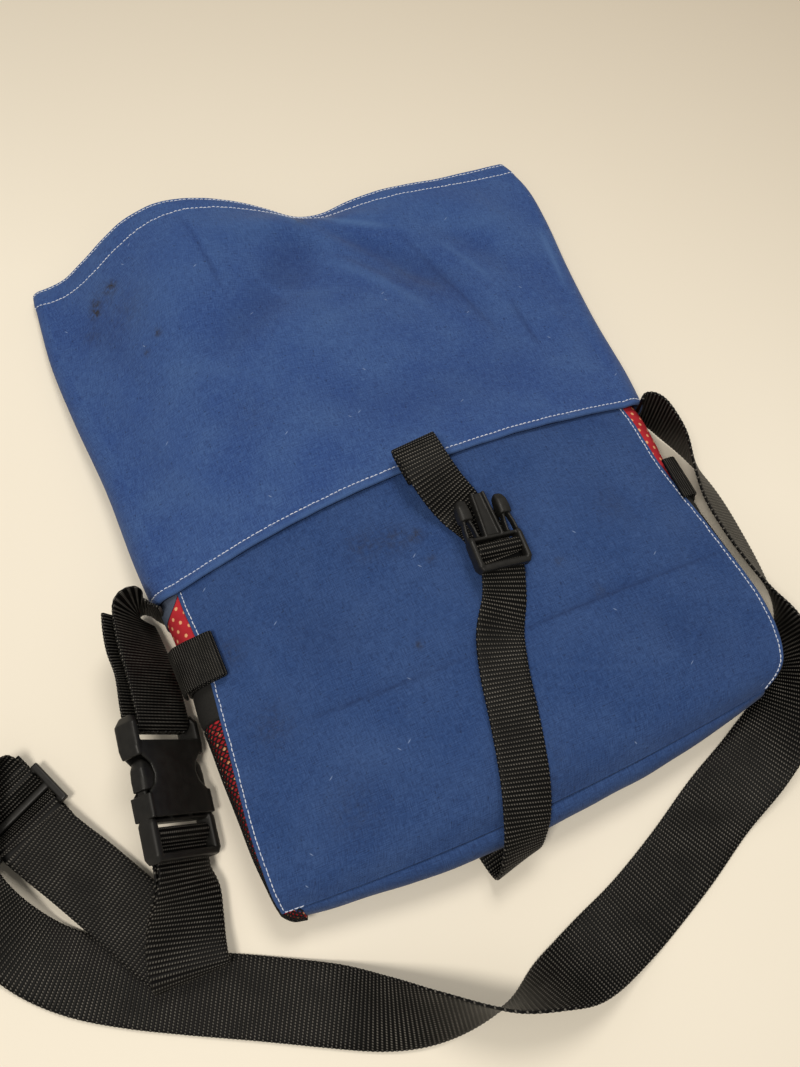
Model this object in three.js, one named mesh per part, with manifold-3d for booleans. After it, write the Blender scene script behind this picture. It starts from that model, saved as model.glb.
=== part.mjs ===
// Roll-top messenger bag of canvas, lying on its back with the roll top laid out flat.
// Millimetres, +Z up. Along the bag, y runs from the bottom edge to the mouth; x runs across it.
import * as THREE from 'three';
import { mergeVertices } from 'three/addons/utils/BufferGeometryUtils.js';
import Module from 'manifold-3d';

const wasm = await Module();
wasm.setup();

// Driving dimensions
const CANVAS = 1.5;
const MESH_CLOTH = 1;
const BINDING = 1.8;
const WEBBING = 1.6;
const GAP = 0.3;
const LAYER_GAP = 0.8;
const SHOULDER_WIDTH = 38;
const CENTRE_WIDTH = 25;
const TAB_WIDTH = 25;

// The point of the table under the middle of the bag, in the sewing frame used below
const BAG_CENTRE = new THREE.Vector3(4.15, 198.65, 0);

// Colours of the real materials
const UPPER_BLUE = '#3e588a';
const LOWER_BLUE = '#304b7d';
const GUSSET_RED = '#b5202b';
const PATCH_SLATE = '#4a5262';
const WEBBING_BLACK = '#1c1b1a';
const PLASTIC_BLACK = '#232322';

// Turns rows of numbers into objects with named columns.
function table(columns, rows) {
  return rows.map((row) => Object.fromEntries(columns.map((column, i) => [column, row[i]])));
}

// Cross-sections of the bag. left and right are the edges of the front wall, each at its own place along
// the bag; bow moves the middle along; edge and crown are the height at the edges and the extra in the
// middle; arch lifts the left third; bulge and rightBulge are how far the side walls swell out.
const SECTION = ['left', 'leftAlong', 'right', 'rightAlong', 'bow', 'edge', 'crown',
  'archAlong', 'archLift', 'bulge', 'rightBulge'];

const BODY_SECTIONS = table(SECTION, [
  [-138.5, 0, 129, 2.5, -7, 24, 7, 0, 0, 3, 1],
  [-140, 12, 143, 13, -3.5, 30, 10, 0, 0, 5, 1],
  [-139.5, 42, 148, 42, 0, 33, 13, 0, 0, 7, 1],
  [-135, 86, 143, 86, 2, 34, 15, 0, 0, 10, 3],
  [-131, 132, 136, 132, 5, 34, 16, 0, 0, 13, 9],
  [-132, 163, 135, 163, 8, 33, 17, 0, 0, 13, 12],
  [-132, 180, 134, 180, 8, 30, 16, 0, 0, 12, 12],
]);

const ROLL_TOP_SECTIONS = table(SECTION, [
  [-134, 170, 136, 173, 8, 35.5, 17, 0, 0, 15, 15],
  [-136, 204, 139, 198, 6, 31, 16, 4, 2, 15, 15],
  [-139, 252, 143, 240, 4, 24, 13, 8, 6, 13, 13],
  [-145, 302, 149, 282, 3, 18, 10, 12, 12, 11, 11],
  [-150, 346, 157, 322, 2, 13, 7, 15, 18, 8, 8],
  [-150, 382, 160, 352, 1, 10, 6, 17, 22, 6, 6],
  [-149, 402, 155, 376, 0, 8, 5, 18, 24, 5, 5],
]);

// The arch peaks where u to this power is one half; the sharpness narrows it.
const ARCH_SKEW = 0.55;
const ARCH_SHARPNESS = 5;

// The back wall steps up near its top so that the roll top's hem passes beneath it.
const BACK_STEP = { start: 156, end: 168, rise: 2.2 };
const BOTTOM_BULGE = { corner: 3, middle: 12.5 };

// Soft dents of the front wall of the roll top: a ridge where height is positive, a valley where negative.
const ROLL_TOP_FOLDS = table(['x', 'y', 'turn', 'reach', 'width', 'height'], [
  [5, 350, 60, 60, 14, -4],
  [60, 335, 35, 70, 16, 3],
  [-100, 300, 95, 80, 20, 3],
  [110, 290, 120, 60, 18, -3],
]);

// Column-wise Catmull-Rom spline through table rows, for v from 0 to 1.
function rowAt(rows, v) {
  const place = Math.min(v, 1) * (rows.length - 1);
  const i = Math.min(Math.floor(place), rows.length - 2);
  const t = place - i;
  const pick = (k) => rows[Math.min(Math.max(k, 0), rows.length - 1)];
  const [a, b, c, d] = [pick(i - 1), pick(i), pick(i + 1), pick(i + 2)];
  const blend = (column) => {
    const slopeB = (c[column] - a[column]) / 2;
    const slopeC = (d[column] - b[column]) / 2;
    const step = c[column] - b[column];
    const curve = (2 * t - 3) * t * t * -step + t * (1 - t) * ((1 - t) * slopeB - t * slopeC);
    return b[column] + curve;
  };
  return Object.fromEntries(Object.keys(b).map((column) => [column, blend(column)]));
}

const lerp = THREE.MathUtils.lerp;
const radians = THREE.MathUtils.degToRad;
const range = (count) => Array.from({ length: count + 1 }, (_, i) => i / count);
const swell = (u) => 1 - (2 * u - 1) ** 2;
const arch = (u) => Math.sin(Math.PI * u ** ARCH_SKEW) ** ARCH_SHARPNESS;

// A point of the front wall: u runs from the left edge to the right one.
function frontPoint(section, u) {
  const along = lerp(section.leftAlong, section.rightAlong, u);
  return new THREE.Vector3(
    lerp(section.left, section.right, u),
    along + section.bow * swell(u) + section.archAlong * arch(u),
    section.edge + section.crown * swell(u) + section.archLift * arch(u),
  );
}

// A point of a side wall: t runs from its upper edge to its lower one, on half an ellipse.
function sidePoint(section, side, t, upper, lower) {
  const edge = side < 0 ? section.left : section.right;
  const along = side < 0 ? section.leftAlong : section.rightAlong;
  const bulge = side < 0 ? section.bulge : section.rightBulge;
  const height = lerp(upper, lower, (1 - Math.cos(Math.PI * t)) / 2);
  return new THREE.Vector3(edge + side * bulge * Math.sin(Math.PI * t), along, height);
}

function backPoint(section, u, height) {
  const along = lerp(section.leftAlong, section.rightAlong, u);
  return new THREE.Vector3(lerp(section.left, section.right, u), along, height);
}

function backRise(along) {
  return BACK_STEP.rise * THREE.MathUtils.smoothstep(along, BACK_STEP.start, BACK_STEP.end);
}

// Height that the soft folds add at a point: a long Gaussian ridge each.
function foldHeight(point, folds) {
  const heights = folds.map((fold) => {
    const turn = radians(fold.turn);
    const dx = point.x - fold.x;
    const dy = point.y - fold.y;
    const lengthwise = (dx * Math.cos(turn) + dy * Math.sin(turn)) / fold.reach;
    const crosswise = (dy * Math.cos(turn) - dx * Math.sin(turn)) / fold.width;
    return fold.height * Math.exp(-(lengthwise ** 2) - crosswise ** 2);
  });
  return heights.reduce((sum, height) => sum + height, 0);
}

// Unit normals of a grid of points: the across direction crossed with the along direction.
function gridNormals(grid, closed) {
  const columns = grid[0].length;
  const clamp = (j) => (closed ? (j + columns) % columns : Math.min(Math.max(j, 0), columns - 1));
  return grid.map((row, i) => row.map((_, j) => {
    const ahead = grid[Math.min(i + 1, grid.length - 1)][j];
    const behind = grid[Math.max(i - 1, 0)][j];
    const across = row[clamp(j + 1)].clone().sub(row[clamp(j - 1)]);
    return across.cross(ahead.clone().sub(behind)).normalize();
  }));
}

function offsetGrid(grid, distance, closed = false) {
  const normals = gridNormals(grid, closed);
  return grid.map((row, i) => row.map((point, j) => point.clone().addScaledVector(normals[i][j], distance)));
}

function geometryOf(points, triangles) {
  const geometry = new THREE.BufferGeometry();
  geometry.setAttribute('position', new THREE.Float32BufferAttribute(points.flatMap((p) => p.toArray()), 3));
  geometry.setIndex(triangles);
  geometry.computeVertexNormals();
  return geometry;
}

// A cloth wall: the outer grid, the same grid set in by the thickness, and the rims between them.
function wall(outer, thickness, closed = false) {
  const inner = offsetGrid(outer, -thickness, closed);
  const rows = outer.length;
  const columns = outer[0].length;
  const innerStart = rows * columns;
  const at = (i, j) => i * columns + (j % columns);
  const triangles = [];
  const quad = (a, b, c, d) => triangles.push(a, b, c, a, c, d);
  const spans = closed ? columns : columns - 1;
  for (let i = 0; i < rows - 1; i++) {
    for (let j = 0; j < spans; j++) {
      const [a, b, c, d] = [at(i, j), at(i, j + 1), at(i + 1, j + 1), at(i + 1, j)];
      quad(a, b, c, d);
      quad(d + innerStart, c + innerStart, b + innerStart, a + innerStart);
    }
  }
  for (let j = 0; j < spans; j++) {
    const [a, b] = [at(0, j), at(0, j + 1)];
    const [d, c] = [at(rows - 1, j), at(rows - 1, j + 1)];
    quad(b, a, a + innerStart, b + innerStart);
    quad(d, c, c + innerStart, d + innerStart);
  }
  for (let i = 0; i < rows - 1 && !closed; i++) {
    const [a, d] = [at(i, 0), at(i + 1, 0)];
    const [b, c] = [at(i, columns - 1), at(i + 1, columns - 1)];
    quad(a, d, d + innerStart, a + innerStart);
    quad(c, b, b + innerStart, c + innerStart);
  }
  return geometryOf([...outer.flat(), ...inner.flat()], triangles);
}

function gridOf(rows, columns, pointAt) {
  return range(rows).map((v) => range(columns).map((u) => pointAt(u, v)));
}

// Cloth pieces of the lower body
function frontPanel() {
  const grid = gridOf(16, 20, (u, v) => frontPoint(rowAt(BODY_SECTIONS, v), u));
  return wall(grid, CANVAS);
}

function backPanel() {
  const grid = gridOf(16, 6, (u, v) => {
    const section = rowAt(BODY_SECTIONS, v);
    const point = backPoint(section, 1 - u, 0);
    point.z = backRise(point.y);
    return point;
  });
  return wall(grid, CANVAS);
}

function bottomPanel() {
  const section = BODY_SECTIONS[0];
  const grid = gridOf(8, 20, (u, t) => {
    const top = frontPoint(section, u);
    const low = backPoint(section, u, CANVAS + GAP);
    const bulge = lerp(BOTTOM_BULGE.corner, BOTTOM_BULGE.middle, swell(u)) * Math.sin(Math.PI * t);
    const height = lerp(low.z, top.z - CANVAS - GAP, (1 - Math.cos(Math.PI * t)) / 2);
    return new THREE.Vector3(top.x, lerp(low.y, top.y, t) - bulge, height);
  });
  return wall(grid, CANVAS);
}

// Points of a gusset's outer face between two places along the body; t counts from the front wall down.
const GUSSET_START = 0.1;
function gussetGrid(side, rows, columns, along, down) {
  return gridOf(rows, columns, (u, v) => {
    const section = rowAt(BODY_SECTIONS, lerp(along[0], along[1], v));
    const lower = backRise(section.leftAlong) + CANVAS + GAP;
    const t = lerp(down[0], down[1], side < 0 ? 1 - u : u);
    return sidePoint(section, side, t, section.edge - CANVAS - GAP, lower);
  });
}

function gusset(side) {
  return wall(gussetGrid(side, 14, 8, [GUSSET_START, 1], [0, 1]), CANVAS);
}

// Layers sewn over a stretch of the gusset: from where to where along the body, and down from the front wall
const POCKET = { along: [0.14, 0.535], down: [0.06, 0.86], thickness: MESH_CLOTH };
const POCKET_MOUTH = { along: [0.54, 0.58], down: [0.06, 0.86], thickness: BINDING };
const PATCH = { along: [0.8, 0.87], down: [0.06, 0.6], thickness: MESH_CLOTH };

function overlay(side, { along, down, thickness }) {
  const grid = gussetGrid(side, 8, 6, along, down);
  return wall(offsetGrid(grid, LAYER_GAP + thickness), thickness);
}

// The roll top: one tube, front wall, right fold, back wall, left fold.
function rollTop() {
  const frontSteps = 20;
  const sideSteps = 6;
  const backSteps = 6;
  const grid = range(18).map((v) => {
    const section = rowAt(ROLL_TOP_SECTIONS, v);
    const front = range(frontSteps).map((u) => {
      const point = frontPoint(section, u);
      point.z += foldHeight(point, ROLL_TOP_FOLDS) * Math.min(1, 2 * swell(u));
      return point;
    });
    const right = range(sideSteps).slice(1, -1).map((t) => sidePoint(section, 1, t, section.edge, 0));
    const back = range(backSteps).map((u) => backPoint(section, 1 - u, 0));
    const left = range(sideSteps).slice(1, -1).map((t) => sidePoint(section, -1, 1 - t, section.edge, 0));
    return [...front, ...right, ...back, ...left];
  });
  return wall(grid, CANVAS, true);
}

// Webbing. A route row gives the middle of the ribbon and its width direction: azimuth in plan, and tilt.
const ROUTE = ['x', 'y', 'z', 'azimuth', 'tilt'];
function routeRow(row) {
  const azimuth = radians(row.azimuth);
  const tilt = radians(row.tilt);
  return {
    point: new THREE.Vector3(row.x, row.y, row.z),
    across: new THREE.Vector3(
      Math.cos(azimuth) * Math.cos(tilt),
      Math.sin(azimuth) * Math.cos(tilt),
      Math.sin(tilt),
    ),
  };
}

function catmullRom(a, b, c, d, t) {
  const curve = new THREE.Vector3().copy(b);
  const slopeB = c.clone().sub(a).multiplyScalar(0.5);
  const slopeC = d.clone().sub(b).multiplyScalar(0.5);
  curve.addScaledVector(c.clone().sub(b), (3 - 2 * t) * t * t);
  curve.addScaledVector(slopeB, t * (1 - t) ** 2);
  return curve.addScaledVector(slopeC, -t * t * (1 - t));
}

// Frames along a route: the middle point, the width direction and the face's normal.
const ROUTE_STEPS = 4;
function framesAlong(route) {
  const pick = (k) => route[Math.min(Math.max(k, 0), route.length - 1)];
  const samples = range((route.length - 1) * ROUTE_STEPS).map((part) => {
    const place = part * (route.length - 1);
    const i = Math.min(Math.floor(place + 1e-9), route.length - 2);
    const near = [i - 1, i, i + 1, i + 2].map(pick);
    return {
      point: catmullRom(...near.map((row) => row.point), place - i),
      across: catmullRom(...near.map((row) => row.across), place - i),
    };
  });
  return samples.map(({ point, across }, i) => {
    const ahead = samples[Math.min(i + 1, samples.length - 1)].point;
    const behind = samples[Math.max(i - 1, 0)].point;
    const tangent = ahead.clone().sub(behind).normalize();
    const wide = across.clone().addScaledVector(tangent, -across.dot(tangent)).normalize();
    return { point, wide, normal: tangent.cross(wide) };
  });
}

// The same frames moved along their own normals, for a second layer of webbing.
function layered(frames, distance) {
  return frames.map(({ point, wide, normal }) => (
    { point: point.clone().addScaledVector(normal, distance), wide, normal }
  ));
}

// A flat ribbon: a rectangle carried along the frames, closed at both ends.
function ribbon(frames, width) {
  const corners = [[1, 1], [-1, 1], [-1, -1], [1, -1]];
  const points = frames.flatMap(({ point, wide, normal }) => corners.map(([w, n]) => point.clone()
    .addScaledVector(wide, w * width / 2)
    .addScaledVector(normal, n * WEBBING / 2)));
  const triangles = [3, 2, 1, 3, 1, 0];
  for (let i = 0; i < frames.length - 1; i++) {
    for (let j = 0; j < 4; j++) {
      const [a, b] = [4 * i + j, 4 * i + (j + 1) % 4];
      triangles.push(a, b, b + 4, a, b + 4, a + 4);
    }
  }
  const end = 4 * (frames.length - 1);
  triangles.push(end, end + 1, end + 2, end, end + 2, end + 3);
  return geometryOf(points, triangles);
}

// Buckle frames. A placing has the across, along and normal axes of a buckle and its place.
function placing(place, heading, roll) {
  const turn = radians(heading);
  const along = new THREE.Vector3(Math.cos(turn), Math.sin(turn), 0);
  const level = new THREE.Vector3(Math.sin(turn), -Math.cos(turn), 0);
  const across = level.multiplyScalar(Math.cos(radians(roll)));
  across.z = -Math.sin(radians(roll));
  const normal = across.clone().cross(along);
  return new THREE.Matrix4().makeBasis(across, along, normal).setPosition(place);
}

// Route rows given in a buckle's own frame: along its axis, and height over its middle plane.
function localRoute(matrix, rows) {
  const across = new THREE.Vector3().setFromMatrixColumn(matrix, 0);
  return rows.map(([along, height]) => ({
    point: new THREE.Vector3(0, along, height).applyMatrix4(matrix),
    across,
  }));
}

// Solids for cutting and joining
function solid(geometry) {
  const bare = geometry.clone();
  bare.deleteAttribute('normal');
  bare.deleteAttribute('uv');
  const merged = mergeVertices(bare, 1e-4);
  return new wasm.Manifold(new wasm.Mesh({
    numProp: 3,
    vertProperties: new Float32Array(merged.attributes.position.array),
    triVerts: new Uint32Array(merged.index.array),
  }));
}

function geometryFrom(manifold) {
  const { vertProperties, triVerts, numProp } = manifold.getMesh();
  const points = [];
  for (let i = 0; i < vertProperties.length; i += numProp) {
    points.push(new THREE.Vector3().fromArray(vertProperties, i));
  }
  return geometryOf(points, Array.from(triVerts));
}

function block(width, length, height, x, y, z) {
  return solid(new THREE.BoxGeometry(width, length, height).translate(x, y, z));
}

// A plate with a moulded edge from half an outline; the other half is its mirror image.
function plate(halfOutline, thickness, edge) {
  const shape = new THREE.Shape();
  const mirrored = halfOutline.map(([x, y]) => [-x, y]).reverse();
  [...halfOutline, ...mirrored].forEach(([x, y], i) => (i ? shape.lineTo(x, y) : shape.moveTo(x, y)));
  shape.closePath();
  const geometry = new THREE.ExtrudeGeometry(shape, {
    depth: thickness - 2 * edge,
    bevelEnabled: true,
    bevelThickness: edge,
    bevelSize: edge,
    bevelOffset: -edge,
    bevelSegments: 2,
  });
  return solid(geometry.translate(0, 0, edge - thickness / 2));
}

function rod(radius, length, y, z) {
  const geometry = new THREE.CylinderGeometry(radius, radius, length, 10);
  return solid(geometry.rotateZ(Math.PI / 2).translate(0, y, z));
}

// Sizes of the two sizes of side-release plug, worked out from the webbing's width
function plugSizes(webbing, base, prong, thickness) {
  const rail = webbing * 0.115;
  return {
    webbing,
    base,
    prong,
    thickness,
    rail,
    half: webbing / 2 + rail,
    slot: webbing + 1.2,
    bar: { radius: 1.9, along: -0.36 * base },
    endBar: { deep: 0.16 * base, low: 0.4 },
  };
}

const SHOULDER_PLUG = plugSizes(SHOULDER_WIDTH, 20, 34, 10);
const CENTRE_PLUG = plugSizes(CENTRE_WIDTH, 18, 25, 8);

// The plug: a frame with a middle bar and an end bar, two springy prongs and a guide tongue.
function plug(sizes) {
  const { base, prong, thickness, half, slot, bar, endBar, rail } = sizes;
  const wallAtProngs = rail * 0.6;
  const frame = plate([[half - 2, 0], [half, -3], [half, -base + 3], [half - 3, -base]], thickness, 1);
  const windowLength = base - wallAtProngs - endBar.deep;
  const window = block(slot, windowLength, thickness + 2, 0, -wallAtProngs - windowLength / 2, 0);
  const endMiddle = -base + endBar.deep / 2;
  const underEnd = block(slot, endBar.deep + 4, thickness, 0, endMiddle, endBar.low - thickness / 2);
  const middleBar = rod(bar.radius, slot + 2, bar.along, 0);
  const arm = rail * 0.75;
  const armHeight = thickness * 0.62;
  let body = frame.subtract(window).subtract(underEnd).add(middleBar);
  for (const side of [-1, 1]) {
    const armX = side * (half - 2.2 * rail);
    const hookX = side * (half - 1.5 * rail);
    body = body.add(block(arm, prong, armHeight, armX, prong / 2 - 1, 0));
    body = body.add(block(1.9 * arm, 0.28 * prong, armHeight, hookX, 0.62 * prong - 1, 0));
  }
  const tongue = block(0.3 * half, 0.9 * prong, armHeight, 0, 0.45 * prong - 1, 0);
  return geometryFrom(body.add(tongue));
}

const SOCKET = {
  length: 52,
  thickness: 13,
  wall: 2.4,
  cavity: 37,
  window: { middle: 21.5, length: 13 },
  slotStart: 39.5,
  bar: { start: 46, halfHeight: 2.2, roundRadius: 3.5 },
};

// The socket: a flat box open towards the plug, with a window at each side and a webbing slot at its end.
function socket() {
  const { half, slot } = SHOULDER_PLUG;
  const { length, thickness, wall: shell, cavity, window, slotStart, bar } = SOCKET;
  const waist = half - 4;
  const body = plate([[half - 1, 0.4], [half - 1, 12], [waist, 15], [waist, 28], [half + 1, 35],
    [half + 1, length - 4], [half - 3, length]], thickness, 1.2);
  const inside = thickness - 2 * shell;
  const hollow = block(2 * half - 4 * shell, cavity, inside, 0, cavity / 2, 0);
  const sides = block(2 * half + 8, window.length, inside, 0, window.middle, 0);
  const strapSlot = block(slot, bar.start - slotStart, thickness + 2, 0, (bar.start + slotStart) / 2, 0);
  const reach = length - bar.start + 4;
  const besideBar = [1, -1].map((up) => block(slot, reach, thickness,
    0, bar.start + reach / 2 - 0.5, up * (thickness / 2 + bar.halfHeight)));
  const cuts = [hollow, sides, strapSlot, ...besideBar];
  return geometryFrom(cuts.reduce((rest, cut) => rest.subtract(cut), body));
}

// The slider: a flat frame with three bars.
const SLIDER = { length: 25, thickness: 3, bar: 4, rail: 4 };
function slider() {
  const half = SHOULDER_WIDTH / 2 + 0.6 + SLIDER.rail;
  const end = SLIDER.length / 2;
  const outline = [[half - 2, -end], [half, -end + 2], [half, end - 2], [half - 2, end]];
  const body = plate(outline, SLIDER.thickness, 0.6);
  const slotLength = (SLIDER.length - 3 * SLIDER.bar) / 2;
  const middle = (SLIDER.bar + slotLength) / 2;
  const slots = [-middle, middle].map((y) => block(SHOULDER_WIDTH + 1.2, slotLength, 9, 0, y, 0));
  return geometryFrom(slots.reduce((frame, slot) => frame.subtract(slot), body));
}

// Where the buckles lie: place, heading of the axis, and roll, with the left edge up where it is positive.
const SHOULDER_BUCKLE = placing(new THREE.Vector3(-172, 63, 25), 83, 60);
const CENTRE_BUCKLE = placing(new THREE.Vector3(27, 124, 61), 86, 18);
const SLIDER_PLACE = placing(new THREE.Vector3(-249, 101, 8), 114, 0);

// Webbing around a bar: the ribbon's middle runs at this distance from the bar's own middle.
const roundBar = (radius) => radius + GAP + WEBBING / 2;

// The centre strap comes up from the bottom seam, passes under the plug's end bar and over its middle bar,
// and its tail arches up from beneath the plug to a folded end.
const CENTRE_RISE = table(ROUTE, [
  [-28.6, -11.4, 3, 12, 0],
  [-27.8, -15.8, 3.6, 12, 0],
  [-27, -20.6, 6, 12, 0],
  [-26, -23.4, 13, 12, 0],
  [-22.5, -20.6, 24, 12, 0],
  [-16.5, -10.5, 35.8, 12, 0],
  [-10.2, 5, 43, 12, 0],
  [-5.2, 22, 46.8, 12, 0],
  [-0.6, 41, 49.6, 12, 0],
  [3.8, 60, 51.4, 12, 0],
  [10, 78, 52.8, 9, -4],
  [19.6, 93.8, 55.4, 2, -15],
]);
const CENTRE_TAIL = table(ROUTE, [
  [24, 137, 53.5, 0, -6],
  [20, 147, 54.5, 2, -2],
  [15, 158, 61, 4, 0],
  [12, 170, 66, 4, 0],
  [11, 183, 65, 4, 0],
  [11, 189, 61.5, 4, 0],
  [11, 187, 58.5, 4, 0],
  [11.5, 177, 58.5, 4, 0],
  [12, 169, 59, 4, 0],
]);

function centreStrap() {
  const { base, bar } = CENTRE_PLUG;
  const round = roundBar(bar.radius);
  const throughPlug = localRoute(CENTRE_BUCKLE, [
    [-base + 2.5, -1.8],
    [bar.along - 4.5, 0],
    [bar.along - round * 0.7, round * 0.8],
    [bar.along, round],
    [bar.along + round * 0.8, round * 0.6],
    [bar.along + round, -round * 0.4],
    [bar.along + round + 1, -5.2],
    [bar.along + round + 6, -6.6],
  ]);
  const route = [...CENTRE_RISE.map(routeRow), ...throughPlug, ...CENTRE_TAIL.map(routeRow)];
  return ribbon(framesAlong(route), CENTRE_WIDTH);
}

// The anchor at the left: webbing from the gusset, round the socket's bar and back beside itself.
const ANCHOR_DOWN = table(ROUTE, [
  [-147.5, 160, 20, -60, -86],
  [-150.6, 166, 20.5, -62, -85],
  [-151.4, 172, 21.5, -55, -83],
  [-154.6, 175.6, 22.5, -25, -78],
  [-158.8, 172.4, 24, -10, -72],
  [-159.6, 162, 25, -6, -66],
  [-159.8, 149, 26.2, -4, -62],
]);
const ANCHOR_BACK = table(ROUTE, [
  [-167, 152, 23.6, -4, -64],
  [-166.5, 163, 24, -8, -68],
  [-165.2, 172.5, 24.4, -12, -72],
]);

function strapAnchor() {
  const along = (SOCKET.bar.start + SOCKET.length) / 2;
  const round = roundBar(SOCKET.bar.roundRadius);
  const aroundBar = localRoute(SHOULDER_BUCKLE, [
    [along + 26, round * 0.8],
    [along + 10, round],
    [along, round],
    [along - round * 0.8, round * 0.6],
    [along - round, 0],
    [along - round * 0.8, -round * 0.6],
    [along, -round],
    [along + 10, -round],
    [along + 26, -round * 0.8],
  ]);
  const route = [...ANCHOR_DOWN.map(routeRow), ...aroundBar, ...ANCHOR_BACK.map(routeRow)];
  return ribbon(framesAlong(route), SHOULDER_WIDTH);
}

// Both layers between plug and slider follow this middle line, each set off along its normal.
const DOUBLED = table(ROUTE, [
  [-177.6, 27.5, 20.5, -14, -47],
  [-182, 17.5, 18, -16, -33],
  [-186.8, 7.5, 16.8, -15, -20],
  [-190, 0, 15.9, -11, -10],
  [-191, -4.6, 14.4, -7, -6],
  [-191.6, -6.7, 10.8, -2, -3],
  [-192, -4.6, 7.2, 5, -1],
  [-193.4, -0.3, 5.7, 14, 0],
  [-197.4, 7.5, 5.3, 22, 0],
  [-204, 19, 5.1, 27, 0],
  [-212.4, 34, 5.2, 28.5, 0],
  [-227.8, 61, 5.8, 28, 0],
]);
const LAYER_APART = 1.5;
const LAYERS_LEAVE_PLUG = { along: -SHOULDER_PLUG.base - 5.5, height: -2.9 };

function doubledFrames(distance) {
  const { along, height } = LAYERS_LEAVE_PLUG;
  const leave = localRoute(SHOULDER_BUCKLE, [[along, height]]);
  return layered(framesAlong([...leave, ...DOUBLED.map(routeRow)]), distance);
}

// The under layer: over the plug's bar, then to the slider and a little beyond, where its end is sewn down.
function strapUnder() {
  const { base, bar } = SHOULDER_PLUG;
  const round = roundBar(bar.radius);
  const start = localRoute(SHOULDER_BUCKLE, [
    [bar.along + round, 0.3],
    [bar.along + round * 0.7, round * 0.8],
    [bar.along, round],
    [bar.along - round * 0.9, round * 0.5],
    [bar.along - 6, -1],
    [-base - 2, -1.4],
  ]);
  const end = localRoute(SLIDER_PLACE, [[-26, -4], [-16, -5.6], [0, -5.6], [16, -5.2], [24, -5]]);
  const frames = [...framesAlong(start), ...doubledFrames(LAYER_APART), ...framesAlong(end)];
  return ribbon(frames, SHOULDER_WIDTH);
}

// The long strap: from under the plug's bar to the slider, through it, and round the bag to its right side.
const LONG_STRAP = table(ROUTE, [
  [-258.9, 122.5, 14.4, 17, 17.5],
  [-262.2, 125.2, 20.8, -1, 25],
  [-265.6, 122.7, 27.2, -19.5, 17.5],
  [-269, 116.4, 29.8, -26, 0],
  [-275.5, 101, 28.5, -20, 4],
  [-279, 86, 24, -8, 8],
  [-278.5, 69, 16.5, 8, 10],
  [-272, 50, 8, 24, 10],
  [-260, 31, 2.5, 40, 4],
  [-243, 15, 1.3, 52, 0],
  [-222, 1, 1.3, 58, 0],
  [-197, -13, 1.3, 61, 0],
  [-165, -30, 1.3, 62, 0],
  [-136, -46, 3.2, 63, 6],
  [-110, -61, 10, 66, 28],
  [-85, -72, 16.8, 74, 55],
  [-62, -79, 19.5, 82, 84],
  [-42, -81, 19, 90, 112],
  [-20, -80, 12, 98, 146],
  [2, -75, 4.8, 106, 170],
  [24, -68, 1.7, 112, 180],
  [54, -55, 1.7, 115, 180],
  [84, -40, 2, 117, 178],
  [112.6, -27.2, 6.5, 122, 164],
  [136.8, -12.2, 13.4, 134, 140],
  [154, 6.8, 18.5, 158, 113],
  [159, 27, 19.5, 172, 92],
  [161.5, 44, 18.8, 180, 70],
  [162, 64, 17.2, 182, 59],
  [162, 86, 16.2, 182, 54],
  [162, 108, 16.2, 182, 54],
  [162, 126, 17.8, 182, 63],
  [161.5, 144, 19.6, 186, 78],
  [159, 158, 20.5, 194, 87],
  [155.6, 168.6, 20.5, 214, 90],
  [151.8, 170.2, 20.2, 258, 90],
  [148.9, 165, 20, 290, 90],
]);

function shoulderStrap() {
  const { base, bar } = SHOULDER_PLUG;
  const round = roundBar(bar.radius);
  const start = localRoute(SHOULDER_BUCKLE, [
    [bar.along + round, -0.3],
    [bar.along + round * 0.7, -round * 0.8],
    [bar.along, -round - 0.3],
    [bar.along - 6, -3.7],
    [-base - 2, -4],
  ]);
  const over = SLIDER.thickness / 2 + LAYER_GAP + WEBBING / 2;
  const step = (SLIDER.length - SLIDER.bar) / 2;
  const halfBar = SLIDER.bar / 2;
  const throughSlider = localRoute(SLIDER_PLACE, [
    [-step - 7, over - 1],
    [-step - halfBar, over],
    [-step + halfBar, over],
    [-halfBar, -over],
    [halfBar, -over],
    [step - halfBar, over],
    [step + halfBar, over],
    [step + 6, over + 0.7],
  ]);
  const rest = framesAlong([...throughSlider, ...LONG_STRAP.map(routeRow)]);
  return ribbon([...framesAlong(start), ...doubledFrames(-LAYER_APART), ...rest], SHOULDER_WIDTH);
}

// Side tabs: short webbing loops sewn into the gusset seam, given as a profile in x and z.
const TAB_LEFT = {
  along: 129.5,
  azimuth: 91,
  profile: [[-145.4, 22], [-145.2, 28], [-142.5, 33], [-138, 36], [-132, 37.4], [-125.4, 38.6],
    [-123.4, 40.2], [-125.4, 41.8], [-132, 40.8], [-138.5, 39.6], [-145, 36.3], [-147.8, 29], [-147.8, 22.5]],
};
const TAB_RIGHT = {
  along: 122.5,
  azimuth: 92,
  profile: [[147.8, 20], [147.4, 24], [146.4, 28], [145.4, 31], [145.7, 33.6], [144.4, 35.6], [141.6, 36.4],
    [137.6, 37.2]],
};

function sideTab(tab) {
  const rows = tab.profile.map(([x, z]) => ({ x, y: tab.along, z, azimuth: tab.azimuth, tilt: 0 }));
  return ribbon(framesAlong(rows.map(routeRow)), TAB_WIDTH);
}

const assembly = new THREE.Group();
assembly.position.copy(BAG_CENTRE).negate();

function add(name, geometry, color, roughness, matrix) {
  const mesh = new THREE.Mesh(geometry, new THREE.MeshStandardMaterial({ color, roughness, metalness: 0 }));
  mesh.name = name;
  if (matrix) {
    mesh.applyMatrix4(matrix);
  }
  assembly.add(mesh);
}

add('roll_top', rollTop(), UPPER_BLUE, 0.95);
add('front_panel', frontPanel(), LOWER_BLUE, 0.95);
add('back_panel', backPanel(), LOWER_BLUE, 0.95);
add('bottom_panel', bottomPanel(), LOWER_BLUE, 0.95);

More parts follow.
